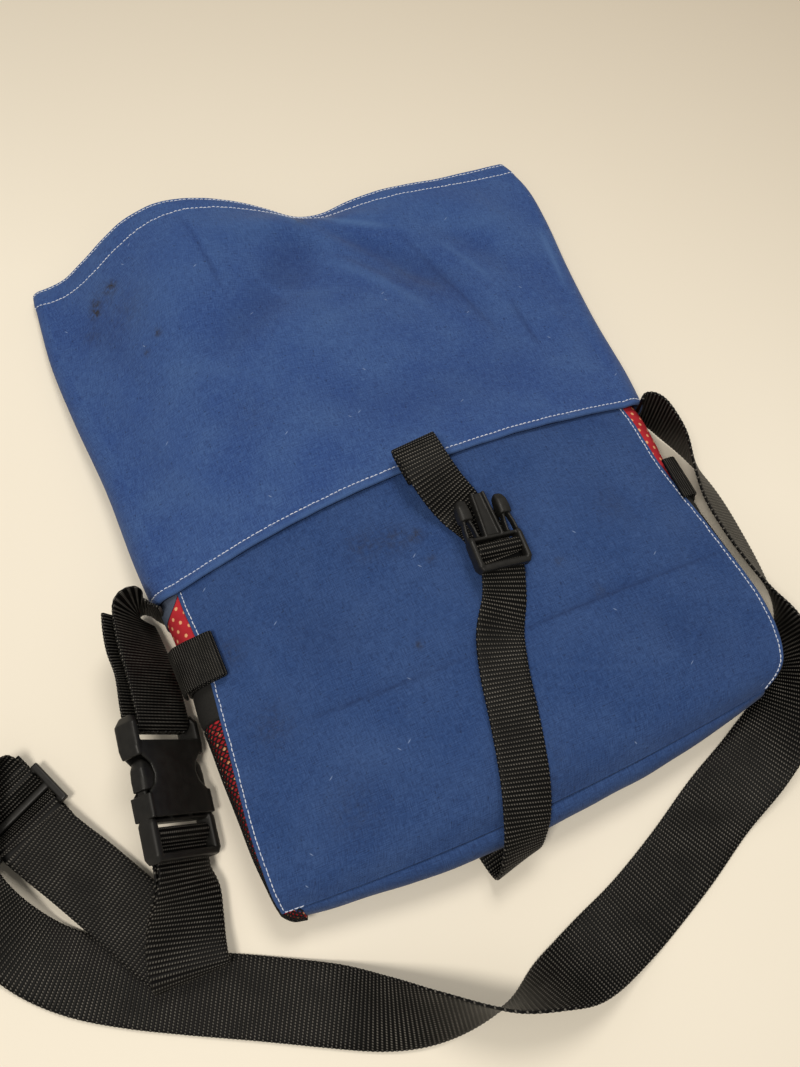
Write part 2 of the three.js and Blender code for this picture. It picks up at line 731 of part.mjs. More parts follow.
const SIDES = { left: -1, right: 1 };
for (const [label, side] of Object.entries(SIDES)) {
  add(`side_gusset_${label}`, gusset(side), GUSSET_RED, 0.95);
  add(`mesh_pocket_${label}`, overlay(side, POCKET), WEBBING_BLACK, 0.9);
  add(`mesh_binding_${label}`, overlay(side, POCKET_MOUTH), WEBBING_BLACK, 0.9);
}
add('gusset_patch_left', overlay(-1, PATCH), PATCH_SLATE, 0.95);

add('side_tab_left', sideTab(TAB_LEFT), WEBBING_BLACK, 0.8);
add('side_tab_right', sideTab(TAB_RIGHT), WEBBING_BLACK, 0.8);
add('centre_strap', centreStrap(), WEBBING_BLACK, 0.8);
add('centre_plug', plug(CENTRE_PLUG), PLASTIC_BLACK, 0.45, CENTRE_BUCKLE);
add('strap_anchor_left', strapAnchor(), WEBBING_BLACK, 0.8);
add('shoulder_socket', socket(), PLASTIC_BLACK, 0.45, SHOULDER_BUCKLE);
add('shoulder_plug', plug(SHOULDER_PLUG), PLASTIC_BLACK, 0.45, SHOULDER_BUCKLE);
add('strap_under', strapUnder(), WEBBING_BLACK, 0.8);
add('strap_slider', slider(), PLASTIC_BLACK, 0.45, SLIDER_PLACE);
add('shoulder_strap', shoulderStrap(), WEBBING_BLACK, 0.8);

export default assembly;
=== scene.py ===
# %% [markdown]
# # A roll-top messenger bag
# A small canvas bag lies on its back on a pale table. Its roll top is laid out flat, a webbing strap runs
# up the middle of its front, and a long shoulder strap lies around it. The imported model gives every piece
# its place and its size. This lesson dresses that model: each piece becomes a surface worked out with
# numpy, in millimetres, and is then put into Blender's metres.

import bpy
import numpy as np
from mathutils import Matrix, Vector


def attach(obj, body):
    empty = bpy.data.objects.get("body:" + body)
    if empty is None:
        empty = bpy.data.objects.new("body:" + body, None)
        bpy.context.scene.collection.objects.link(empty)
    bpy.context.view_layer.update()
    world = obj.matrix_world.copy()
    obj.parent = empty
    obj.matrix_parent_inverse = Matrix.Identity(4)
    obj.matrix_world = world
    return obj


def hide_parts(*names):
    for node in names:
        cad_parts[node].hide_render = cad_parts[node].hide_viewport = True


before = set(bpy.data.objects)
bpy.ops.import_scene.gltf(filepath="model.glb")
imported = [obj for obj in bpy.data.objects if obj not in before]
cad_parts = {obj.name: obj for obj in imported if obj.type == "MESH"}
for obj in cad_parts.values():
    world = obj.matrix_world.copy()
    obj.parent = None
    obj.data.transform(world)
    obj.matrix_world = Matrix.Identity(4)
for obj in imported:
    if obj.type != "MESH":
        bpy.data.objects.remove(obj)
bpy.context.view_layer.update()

# %% [markdown]
# ## One frame for everything
# The pattern pieces are easiest to describe in a sewing frame: y counts from the bottom edge of the front
# panel towards the mouth, x runs across, and z is the height over the table, all in millimetres. The packed
# model has its origin under the middle of the bag, so one function moves points from the first frame to the
# second.

# %% The sewing frame
MM = 0.001
BAG_CENTRE = np.array([4.15, 198.65, 0.0])


def placed(points):
    """Sewing-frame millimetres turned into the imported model's metres."""
    return (np.asarray(points, float) - BAG_CENTRE) * MM


# %% [markdown]
# ## The camera
# The photograph was taken from above the lower left corner, with a wide phone lens. Its field of view and
# its place were worked out from the bag's straight edges. Blender's lens length follows from the focal
# length in pixels, because the taller side of the picture takes the whole sensor.

# %% Camera
PHOTO_TALL_PX = 1067
FOCAL_PX = 1000
SENSOR_MM = 36
CAMERA_TURN = np.radians(-23.64)
CAMERA_RISE = np.radians(69.13)
CAMERA_REACH = 575.7
CAMERA_AIM = np.array([-6.37, 165.9, 0.0])

camera_data = bpy.data.cameras.new("photo_camera")
camera_data.sensor_width = SENSOR_MM
camera_data.lens = FOCAL_PX / PHOTO_TALL_PX * SENSOR_MM
camera = bpy.data.objects.new("photo_camera", camera_data)
bpy.context.collection.objects.link(camera)
flat_reach = np.cos(CAMERA_RISE)
backwards = np.array([
    np.sin(CAMERA_TURN) * flat_reach,
    -np.cos(CAMERA_TURN) * flat_reach,
    np.sin(CAMERA_RISE),
])
camera.location = placed(CAMERA_AIM + CAMERA_REACH * backwards)
camera.rotation_euler = Vector(-backwards).to_track_quat("-Z", "Y").to_euler()
bpy.context.scene.camera = camera
bpy.context.scene.view_settings.view_transform = "Standard"
print("camera at", [round(v, 3) for v in camera.location], "lens", round(camera_data.lens, 2), "mm")

# %% [markdown]
# ## Helpers for surfaces
# Nearly every piece is a grid of points: rows along the piece, columns across it. The grid becomes quads,
# and its UV map holds the lengths of cloth in millimetres, so a weave drawn on it follows every bend at its
# true scale. Measuring those lengths from the middle column keeps the threads straight there.

# %% Grid helpers
def unit(vectors):
    """Vectors of length one."""
    return vectors / np.maximum(np.linalg.norm(vectors, axis=-1, keepdims=True), 1e-12)


def grid_normals(points, closed=False):
    """Outward normals of a grid: the step across crossed with the step along."""
    if closed:
        across = np.roll(points, -1, axis=1) - np.roll(points, 1, axis=1)
    else:
        across = np.gradient(points, axis=1)
    return unit(np.cross(across, np.gradient(points, axis=0)))


def cloth_lengths(points, closed=False):
    """UV in millimetres: length across from the middle column, and length along from the first row."""
    wide = np.concatenate([points, points[:, :1]], axis=1) if closed else points
    steps = np.linalg.norm(np.diff(wide, axis=1), axis=-1)
    across = np.concatenate([np.zeros((len(wide), 1)), np.cumsum(steps, axis=1)], axis=1)
    across = across - across[:, wide.shape[1] // 2][:, None]
    rises = np.linalg.norm(np.diff(wide, axis=0), axis=-1).mean(axis=1)
    along = np.concatenate([[0], np.cumsum(rises)])
    return np.stack([across, np.broadcast_to(along[:, None], across.shape)], axis=-1)


def quads(rows, columns, closed=False):
    """Corner numbers of the quads between neighbouring grid points, seen from outside."""
    i, j = np.meshgrid(np.arange(rows - 1), np.arange(columns if closed else columns - 1), indexing="ij")
    after = (j + 1) % columns
    corners = [i * columns + j, i * columns + after, (i + 1) * columns + after, (i + 1) * columns + j]
    return np.stack(corners, axis=-1).reshape(-1, 4)


def mesh_object(name, points, faces, uv=None, attributes=None):
    """An object from points in sewing millimetres, faces, a UV per face corner and numbers per point."""
    mesh = bpy.data.meshes.new(name)
    mesh.from_pydata(placed(points).tolist(), [], [list(face) for face in faces])
    if uv is not None:
        mesh.uv_layers.new(name="cloth").data.foreach_set("uv", uv.astype(np.float32).ravel())
    for label, values in (attributes or {}).items():
        layer = mesh.attributes.new(label, "FLOAT", "POINT")
        layer.data.foreach_set("value", values.astype(np.float32).ravel())
    mesh.shade_smooth()
    made = bpy.data.objects.new(name, mesh)
    bpy.context.collection.objects.link(made)
    print(name, "has", len(mesh.polygons), "faces")
    return made


def grid_object(name, points, closed=False, **attributes):
    """A grid of points as a mesh with its cloth lengths as UV."""
    rows, columns = points.shape[:2]
    faces = quads(rows, columns, closed)
    lengths = cloth_lengths(points, closed)
    corner = quads(rows, lengths.shape[1])
    uv = lengths.reshape(-1, 2)[corner.ravel()]
    return mesh_object(name, points.reshape(-1, 3), faces.tolist(), uv, attributes)


def thicken(piece, thickness):
    """Gives a cloth surface its thickness inwards, and closes its edges."""
    solidify = piece.modifiers.new("cloth thickness", "SOLIDIFY")
    solidify.thickness = thickness * MM
    solidify.offset = -1


def finish_piece(piece, material, slot, *nodes):
    """Gives a piece its material, sets it on the bag and hides the CAD nodes that it stands for. The slot is
    not used.
    """
    piece.data.materials.append(material)
    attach(piece, "root")
    if nodes:
        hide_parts(*nodes)


# %% [markdown]
# ## Helpers for materials
# Colours are written as the sRGB hex values that one would pick from a picture, and Blender wants linear
# light, so one function converts them. Another adds a shader node, sets its properties and sets or links
# its sockets, which keeps each material a readable list.

# %% Material helpers
def linear(hex_colour):
    """An sRGB hex colour as linear RGBA."""
    srgb = np.array([int(hex_colour[i:i + 2], 16) for i in (1, 3, 5)]) / 255
    light = np.where(srgb <= 0.04045, srgb / 12.92, ((srgb + 0.055) / 1.055) ** 2.4)
    return (*light.tolist(), 1.0)


def add(tree, kind, sockets=None, **settings):
    """Adds a shader node, sets its properties, and sets or links its input sockets by name or number."""
    made = tree.nodes.new(kind)
    for name, value in settings.items():
        setattr(made, name, value)
    for socket, value in (sockets or {}).items():
        if isinstance(value, bpy.types.NodeSocket):
            tree.links.new(value, made.inputs[socket])
        else:
            made.inputs[socket].default_value = value
    return made


MIX_FACTOR, MIX_A, MIX_B, MIX_RESULT = 0, 6, 7, 2


def new_material(name):
    """A material with an empty node tree."""
    material = bpy.data.materials.new(name)
    material.use_nodes = True
    material.node_tree.nodes.clear()
    print("material:", name)
    return material, material.node_tree


# %% [markdown]
# ## Black webbing
# The straps are woven polypropylene: thick weft ribs cross the strap every couple of millimetres, and each
# rib is a row of small slanted floats that catch the light as grey dots. The ribs are in the mesh. The
# floats are too small for that, so they are bump, drawn from the strap's own UV, and their grey glints are a
# painted highlight in the colour. Both are a little coarser than real, so that they show.

# %% Webbing material
RIB_PITCH = 2.1
FLOAT_PITCH = 1.35


def webbing_material():
    """Polypropylene webbing: black gaps, and a painted grey highlight on the crest of each float, moved half
    a float at each rib.
    """
    material, tree = new_material("polypropylene webbing")
    uv = add(tree, "ShaderNodeUVMap", uv_map="cloth").outputs[0]
    axes = add(tree, "ShaderNodeSeparateXYZ", {0: uv})
    lean = FLOAT_PITCH / 2 / RIB_PITCH
    sockets = {0: axes.outputs[1], 1: lean, 2: axes.outputs[0]}
    leaned = add(tree, "ShaderNodeMath", sockets, operation="MULTIPLY_ADD")
    waves = []
    for place, pitch, low in ((leaned.outputs[0], FLOAT_PITCH, -0.7), (axes.outputs[1], RIB_PITCH, 0.0)):
        turned = add(tree, "ShaderNodeMath", {0: place, 1: 2 * np.pi / pitch}, operation="MULTIPLY")
        wave = add(tree, "ShaderNodeMath", {0: turned.outputs[0]}, operation="COSINE")
        sockets = {0: wave.outputs[0], 1: low, 2: 0.8, 3: 0.0, 4: 1.0}
        waves.append(add(tree, "ShaderNodeMapRange", sockets).outputs[0])
    dots = add(tree, "ShaderNodeMath", {0: waves[0], 1: waves[1]}, operation="MULTIPLY")
    # Painted highlight: the float crests are coloured grey where they would catch the light, stronger in some
    # patches.
    glint_patches = add(tree, "ShaderNodeTexNoise", {"Vector": uv, "Scale": 0.06, "Detail": 3.0})
    gleam = add(tree, "ShaderNodeMath", {0: dots.outputs[0], 1: glint_patches.outputs["Fac"]}, operation="MULTIPLY")
    colour = add(tree, "ShaderNodeMix", {MIX_FACTOR: gleam.outputs[0], MIX_A: linear("#040404"),
                                         MIX_B: linear("#85817a")}, data_type="RGBA")
    bump = add(tree, "ShaderNodeBump", {"Height": dots.outputs[0], "Strength": 0.9, "Distance": 0.4 * MM})
    surface = {"Base Color": colour.outputs[MIX_RESULT], "Normal": bump.outputs[0], "Roughness": 0.5,
               "Specular IOR Level": 0.12}
    shader = add(tree, "ShaderNodeBsdfPrincipled", surface)
    add(tree, "ShaderNodeOutputMaterial", {"Surface": shader.outputs[0]})
    return material


webbing = webbing_material()

# %% [markdown]
# ## Routes of the straps
# A strap is a flat ribbon. Each row of a route gives the middle of the ribbon, and the direction of its
# width as a turn in plan and a tilt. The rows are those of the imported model, and a few at the ends are
# moved by some millimetres, so that the ribs stay even. Some rows belong to a buckle, because the strap is
# threaded through it: they are given along the buckle's axis and over its middle plane.

# %% Where the buckles lie
SHOULDER_WIDTH = 38.0
CENTRE_WIDTH = 25.0
TAB_WIDTH = 25.0
WEBBING = 1.6
GAP = 0.3


def buckle_axes(heading, roll):
    """A buckle's axes across, along and normal, from its heading and its roll with the left edge up."""
    turn, lean = np.radians([heading, roll])
    along = np.array([np.cos(turn), np.sin(turn), 0])
    across = np.array([np.sin(turn) * np.cos(lean), -np.cos(turn) * np.cos(lean), -np.sin(lean)])
    return np.array([across, along, np.cross(across, along)])


SHOULDER_BUCKLE = {"place": np.array([-172, 63, 25.0]), "axes": buckle_axes(83, 60)}
CENTRE_BUCKLE = {"place": np.array([27, 124, 61.0]), "axes": buckle_axes(86, 18)}
SLIDER_PLACE = {"place": np.array([-249, 101, 8.0]), "axes": buckle_axes(114, 0)}


def on_buckle(buckle, points):
    """Points given across, along and over a buckle, moved to where the buckle lies."""
    return buckle["place"] + np.asarray(points, float) @ buckle["axes"]


def buckle_rows(buckle, rows):
    """Route rows of a strap threaded through a buckle: along its axis and over its middle plane."""
    rows = np.asarray(rows, float)
    points = on_buckle(buckle, np.column_stack([np.zeros(len(rows)), rows]))
    return np.concatenate([points, np.broadcast_to(buckle["axes"][0], points.shape)], axis=1)


def table_rows(rows):
    """Route rows from x, y, z, turn in plan and tilt of the width, in degrees."""
    rows = np.asarray(rows, float)
    turn, tilt = np.radians(rows[:, 3]), np.radians(rows[:, 4])
    width = np.stack([np.cos(turn) * np.cos(tilt), np.sin(turn) * np.cos(tilt), np.sin(tilt)], axis=1)
    return np.concatenate([rows[:, :3], width], axis=1)


# %% Splines and frames along a route
SPLINE_STEPS = 60
ROUTE_STEP = 0.05


def rows_at(rows, places):
    """Catmull-Rom spline through the rows of an array, at places counted in rows."""
    rows = np.asarray(rows, float)
    i = np.clip(places.astype(int), 0, len(rows) - 2)
    t = (places - i)[:, None]
    a, b, c, d = (rows[np.clip(i + k, 0, len(rows) - 1)] for k in (-1, 0, 1, 2))
    return (b + (c - b) * (3 - 2 * t) * t ** 2
            + (c - a) / 2 * t * (1 - t) ** 2 - (d - b) / 2 * t ** 2 * (1 - t))


def smoothed(values, reach):
    """Running mean over a bell of the given reach in samples, with the ends held."""
    if reach < 1:
        return values
    bell = np.exp(-np.linspace(-2, 2, 2 * reach + 1) ** 2)
    padded = np.pad(values, ((reach, reach), (0, 0)), mode="edge")
    columns = [np.convolve(padded[:, k], bell / bell.sum(), mode="valid") for k in range(values.shape[1])]
    result = np.stack(columns, axis=1)
    result[0], result[-1] = values[0], values[-1]
    return result


def frames_along(route, step, reach=2.0):
    """Middle points, width directions and normals at even steps along a route, eased over a reach in mm."""
    dense = rows_at(route, np.linspace(0, len(route) - 1, SPLINE_STEPS * len(route)))
    length = np.concatenate([[0], np.cumsum(np.linalg.norm(np.diff(dense[:, :3], axis=0), axis=1))])
    count = int(np.ceil(length[-1] / step)) + 1
    even = np.linspace(0, length[-1], count)
    sampled = np.stack([np.interp(even, length, dense[:, k]) for k in range(6)], axis=1)
    eased = smoothed(sampled, int(round(reach / step)))
    middle = eased[:, :3]
    tangent = unit(np.gradient(middle, axis=0))
    width = eased[:, 3:]
    width = unit(width - (width * tangent).sum(axis=1, keepdims=True) * tangent)
    return {"middle": middle, "width": width, "normal": np.cross(tangent, width), "length": even}


# %% [markdown]
# The ribbon's section is a flat rectangle with rounded selvedges. It is carried along the frames, and its two
# faces rise and fall with the ribs, so the ribs show in the outline too. The selvedges are slightly toothed
# where each weft thread turns back.

# %% The ribbon
RIB_STEPS = 4
RIB_HEIGHT = 0.15
SELVEDGE_TOOTH = 0.12
FACE_COLUMNS, EDGE_COLUMNS = 12, 3


def ribbon(name, frames, width, pitch=RIB_PITCH):
    """A webbing ribbon: a rounded flat section carried along frames, with ribs on both faces."""
    fineness = pitch / RIB_PITCH
    face = np.linspace(1, -1, FACE_COLUMNS)
    turn = np.linspace(np.pi / 2, -np.pi / 2, EDGE_COLUMNS + 2)[1:-1]
    edge = WEBBING / 2
    left = np.stack([-(width / 2 - edge) - edge * np.cos(turn), edge * np.sin(turn)], axis=1)
    top = np.stack([face * (width / 2 - edge), np.full(FACE_COLUMNS, edge)], axis=1)
    section = np.concatenate([top, left, -top, -left])
    across, over = section[:, 0], section[:, 1]
    wave = fineness * np.cos(2 * np.pi * frames["length"] / pitch)[:, None]
    over_here = over * (1 + RIB_HEIGHT / edge * wave)
    across_here = across + np.sign(across) * (np.abs(across) > width / 2 - edge) * SELVEDGE_TOOTH * wave
    points = (frames["middle"][:, None] + across_here[..., None] * frames["width"][:, None]
              + over_here[..., None] * frames["normal"][:, None])
    points[..., 2] = np.maximum(points[..., 2], 0)
    rows, columns = points.shape[:2]
    faces = quads(rows, columns, closed=True)
    ends = [list(range(columns))[::-1], list(range((rows - 1) * columns, rows * columns))]
    flat = np.broadcast_arrays(across[None], frames["length"][:, None])
    uv = np.stack(flat, axis=-1).reshape(-1, 2) / fineness
    corners = np.concatenate([faces.ravel(), np.concatenate(ends)])
    return mesh_object(name, points.reshape(-1, 3), faces.tolist() + ends, uv[corners])


STRAP_STEP = RIB_PITCH / RIB_STEPS

# %% [markdown]
# ## The doubled strap and the long strap
# From the buckle's plug, two layers of webbing run down, fold back on themselves and run up to the slider.
# One layer ends there. The other goes on through the slider, loops back, sweeps along the bottom with a half
# turn, and stands on edge beside the bag until it is sewn in at the right side. Both layers follow one middle
# line, each moved along the line's own normal.

# %% Rows of the doubled strap
PLUG_BAR = 1.9
BAR_SHARE = -0.36
SHOULDER_PLUG_BASE = 20.0
SHOULDER_BAR = BAR_SHARE * SHOULDER_PLUG_BASE
LAYER_APART = 1.5
BAR_ROUND = PLUG_BAR + GAP + WEBBING / 2

leave_plug = buckle_rows(SHOULDER_BUCKLE, [[-SHOULDER_PLUG_BASE - 5.5, -2.9]])
doubled = np.concatenate([leave_plug, table_rows([
    [-179.4, 28, 22.6, -14, -47],
    [-184, 18.1, 19.4, -16, -33],
    [-188, 7.8, 17.2, -15, -20],
    [-190, 0, 15.9, -11, -10],
    [-191, -4.6, 14.4, -7, -6],
    [-191.6, -6.7, 10.8, -2, -3],
    [-192, -4.6, 7.2, 5, -1],
    [-193.4, -0.3, 5.7, 14, 0],
    [-197.4, 7.5, 5.3, 22, 0],
    [-204, 19, 5.1, 27, 0],
    [-212.4, 34, 5.2, 28.5, 0],
    [-227.8, 61, 5.8, 28, 0],
])])


def layer_rows(route, distance):
    """The rows of a route moved along the ribbon's normal by a distance."""
    places = np.arange(len(route), dtype=float)
    ahead = rows_at(route, np.minimum(places + ROUTE_STEP, len(route) - 1))[:, :3]
    behind = rows_at(route, np.maximum(places - ROUTE_STEP, 0))[:, :3]
    tangent = unit(ahead - behind)
    width = route[:, 3:]
    width = unit(width - (width * tangent).sum(axis=1, keepdims=True) * tangent)
    return np.concatenate([route[:, :3] + distance * np.cross(tangent, width), width], axis=1)


# %% Rows of the long strap
SLIDER_LENGTH, SLIDER_THICK, SLIDER_BAR, SLIDER_RAIL = 25.0, 3.0, 4.0, 4.0
SLIDER_GAP = 0.8
OVER_BAR = SLIDER_THICK / 2 + SLIDER_GAP + WEBBING / 2
BAR_STEP = (SLIDER_LENGTH - SLIDER_BAR) / 2
HALF_BAR = SLIDER_BAR / 2

under_the_bar = buckle_rows(SHOULDER_BUCKLE, [
    [SHOULDER_BAR + BAR_ROUND, -0.3],
    [SHOULDER_BAR + BAR_ROUND * 0.7, -BAR_ROUND * 0.8],
    [SHOULDER_BAR, -BAR_ROUND - 0.3],
    [SHOULDER_BAR - 6, -3.7],
    [-SHOULDER_PLUG_BASE - 2, -4],
])
through_slider = buckle_rows(SLIDER_PLACE, [
    [-BAR_STEP - 7, OVER_BAR - 1],
    [-BAR_STEP - HALF_BAR, OVER_BAR],
    [-BAR_STEP + HALF_BAR, OVER_BAR],
    [-HALF_BAR, -OVER_BAR],
    [HALF_BAR, -OVER_BAR],
    [BAR_STEP - HALF_BAR, OVER_BAR],
    [BAR_STEP + HALF_BAR, OVER_BAR],
    [BAR_STEP + 6, OVER_BAR + 0.7],
])
round_the_bag = table_rows([
    [-258.9, 122.5, 14.4, 17, 17.5],
    [-262.2, 125.2, 20.8, -1, 25],
    [-265.6, 122.7, 27.2, -19.5, 17.5],
    [-269, 116.4, 29.8, -26, 0],
    [-275.5, 101, 28.5, -20, 4],
    [-279, 86, 24, -8, 8],
    [-278.5, 69, 16.5, 8, 10],
    [-272, 50, 8, 24, 10],
    [-260, 31, 2.5, 40, 4],
    [-243, 15, 1.3, 52, 0],
    [-222, 1, 1.3, 58, 0],
    [-197, -13, 1.3, 61, 0],
    [-165, -30, 1.3, 62, 0],
    [-136, -46, 3.2, 63, 6],
    [-110, -61, 10, 66, 28],
    [-85, -72, 16.8, 74, 55],
    [-62, -79, 19.5, 82, 84],
    [-42, -81, 19, 90, 112],
    [-20, -80, 12, 98, 146],
    [2, -75, 4.8, 106, 170],
    [24, -68, 1.7, 112, 180],
    [54, -55, 1.7, 115, 180],
    [84, -40, 2, 117, 178],
    [112.6, -27.2, 6.5, 122, 164],
    [136.8, -12.2, 13.4, 134, 140],
    [154, 6.8, 18.5, 158, 113],
    [159, 27, 19.5, 172, 92],
    [161.5, 44, 18.8, 180, 70],
    [162, 64, 17.2, 182, 59],
    [162, 86, 16.2, 182, 54],
    [162, 108, 16.2, 182, 54],
    [162, 126, 17.8, 182, 63],
    [161.5, 144, 19.6, 186, 78],
    [159, 158, 20.5, 194, 87],
    [157, 166.5, 20.5, 208, 90],
    [153.4, 172.4, 20.3, 235, 90],
    [148.4, 174.2, 20, 262, 90],
    [145, 171, 20, 290, 90],
])

# %% Make the long strap and the layer under it
long_layer = layer_rows(doubled, -LAYER_APART)
long_route = np.concatenate([under_the_bar, long_layer, through_slider, round_the_bag])
long_frames = frames_along(long_route, STRAP_STEP)
shoulder_strap = ribbon("shoulder_strap_webbing", long_frames, SHOULDER_WIDTH)
finish_piece(shoulder_strap, webbing, "webbing", "shoulder_strap")

over_the_bar = buckle_rows(SHOULDER_BUCKLE, [
    [SHOULDER_BAR + BAR_ROUND, 0.3],
    [SHOULDER_BAR + BAR_ROUND * 0.7, BAR_ROUND * 0.8],
    [SHOULDER_BAR, BAR_ROUND],
    [SHOULDER_BAR - BAR_ROUND * 0.9, BAR_ROUND * 0.5],
    [SHOULDER_BAR - 6, -1],
    [-SHOULDER_PLUG_BASE - 2, -1.4],
])
under_slider = buckle_rows(SLIDER_PLACE, [[-26, -4], [-16, -5.6], [0, -5.6], [16, -5.2], [24, -5]])
under_route = np.concatenate([over_the_bar, layer_rows(doubled, LAYER_APART), under_slider])
under_frames = frames_along(under_route, STRAP_STEP)
strap_under = ribbon("strap_under_webbing", under_frames, SHOULDER_WIDTH)
finish_piece(strap_under, webbing, "webbing", "strap_under")
for label, frames in (("long strap", long_frames), ("under layer", under_frames)):
    print(label, round(frames["length"][-1]), "mm")

# %% [markdown]
# ## The anchor and the centre strap
# At the left, a short doubled strap leaves the side of the bag, turns over like a hood and holds the buckle's
# socket by its bar. The narrower centre strap comes from under the bottom edge, passes under the end of its
# plug, rolls over the plug's middle bar, and leaves a loose tail that stands up in an arch.

# %% Anchor strap
ANCHOR_PITCH = 1.6
SOCKET_LENGTH = 52.0
SOCKET_BAR = {"start": 46.0, "half_height": 2.2, "round": 3.5}
socket_bar_along = (SOCKET_BAR["start"] + SOCKET_LENGTH) / 2
SOCKET_ROUND = SOCKET_BAR["round"] + GAP + WEBBING / 2

anchor_route = np.concatenate([
    table_rows([
        [-144.4, 165.5, 20, -60, -86],
        [-148.4, 170, 20.5, -62, -85],
        [-151.2, 173.6, 21.5, -50, -83],
        [-154.6, 175.8, 22.5, -25, -78],
        [-158.8, 172.4, 24, -10, -72],
        [-159.6, 162, 25, -6, -66],
        [-159.8, 149, 26.2, -4, -62],
    ]),
    buckle_rows(SHOULDER_BUCKLE, [
        [socket_bar_along + 26, SOCKET_ROUND * 0.8],
        [socket_bar_along + 10, SOCKET_ROUND],
        [socket_bar_along, SOCKET_ROUND],
        [socket_bar_along - SOCKET_ROUND * 0.8, SOCKET_ROUND * 0.6],
        [socket_bar_along - SOCKET_ROUND, 0],
        [socket_bar_along - SOCKET_ROUND * 0.8, -SOCKET_ROUND * 0.6],
        [socket_bar_along, -SOCKET_ROUND],
        [socket_bar_along + 10, -SOCKET_ROUND],
        [socket_bar_along + 26, -SOCKET_ROUND * 0.8],
    ]),
    table_rows([
        [-167, 152, 23.6, -4, -64],
        [-166.5, 163, 24, -8, -68],
        [-165.2, 172.5, 24.4, -12, -72],
    ]),
])
anchor_frames = frames_along(anchor_route, ANCHOR_PITCH / RIB_STEPS)
strap_anchor = ribbon("strap_anchor_webbing", anchor_frames, SHOULDER_WIDTH, ANCHOR_PITCH)
finish_piece(strap_anchor, webbing, "webbing", "strap_anchor_left")

# %% Centre strap
CENTRE_PLUG_BASE = 18.0
CENTRE_BAR = BAR_SHARE * CENTRE_PLUG_BASE

centre_route = np.concatenate([
    table_rows([
        [-28.6, -11.4, 3, 12, 0],
        [-27.8, -15.8, 3.6, 12, 0],
        [-27, -20.6, 6, 12, 0],
        [-26, -23.4, 13, 12, 0],
        [-22.5, -20.6, 24, 12, 0],
        [-16.5, -10.5, 35.8, 12, 0],
        [-10.2, 5, 43, 12, 0],
        [-5.2, 22, 46.8, 12, 0],
        [-0.6, 41, 49.6, 12, 0],
        [3.8, 60, 51.4, 12, 0],
        [10, 78, 52.8, 9, -4],
        [19.6, 93.8, 55.4, 2, -15],
    ]),
    buckle_rows(CENTRE_BUCKLE, [
        [-CENTRE_PLUG_BASE + 2.5, -1.8],
        [CENTRE_BAR - 4.5, 0],
        [CENTRE_BAR - BAR_ROUND * 0.7, BAR_ROUND * 0.8],
        [CENTRE_BAR, BAR_ROUND],
        [CENTRE_BAR + BAR_ROUND * 0.8, BAR_ROUND * 0.6],
        [CENTRE_BAR + BAR_ROUND, -BAR_ROUND * 0.4],
        [CENTRE_BAR + BAR_ROUND + 1, -5.2],
        [CENTRE_BAR + BAR_ROUND + 6, -6.6],
    ]),
    table_rows([
        [24, 137, 53.5, 0, -6],
        [20, 147, 54.5, 2, -2],
        [15, 158, 61, 4, 0],
        [12, 170, 66, 4, 0],
        [11, 183, 65, 4, 0],
        [11, 189, 61.5, 4, 0],
        [11, 187, 58.5, 4, 0],
        [11.5, 177, 58.5, 4, 0],
        [12, 169, 59, 4, 0],
    ]),
])
centre_frames = frames_along(centre_route, STRAP_STEP, reach=1.2)
centre_strap = ribbon("centre_strap_webbing", centre_frames, CENTRE_WIDTH)
finish_piece(centre_strap, webbing, "webbing", "centre_strap")
print("centre strap", round(centre_frames["length"][-1]), "mm")

# %% [markdown]
# Two short tabs of webbing are folded over the side edges of the front panel. Their ribs are finer.

# %% Side tabs
TAB_PITCH = 1.25
TABS = {
    "left": {"along": 129.5, "turn": 91, "profile": [
        [-145.4, 22], [-145.2, 28], [-142.5, 33], [-138, 36], [-132, 37.4], [-125.4, 38.6], [-123.4, 40.2],
        [-125.4, 41.8], [-132, 40.8], [-138.5, 39.6], [-145, 36.3], [-147.8, 29], [-147.8, 22.5]]},
    "right": {"along": 122.5, "turn": 92, "profile": [
        [147.8, 20], [147.4, 24], [146.4, 28], [145.4, 31], [145.7, 33.6], [144.4, 35.6], [141.6, 36.4],
        [137.6, 37.2]]},
}
for side, tab in TABS.items():
    tab_rows = table_rows([[x, tab["along"], z, tab["turn"], 0] for x, z in tab["profile"]])
    tab_frames = frames_along(tab_rows, TAB_PITCH / RIB_STEPS, reach=1.2)
    tab_piece = ribbon(f"side_tab_{side}_webbing", tab_frames, TAB_WIDTH, TAB_PITCH)
    finish_piece(tab_piece, webbing, "webbing", f"side_tab_{side}")

# %% [markdown]
# ## The outline of the bag
# Cross-sections give the bag its form: the edges of the front wall, each at its own place along the bag, the
# height at the edges, the extra in the middle, an arch that lifts the left third of the mouth, and how far
# the sides swell. A spline runs through the sections, so the walls are smooth at any fineness.

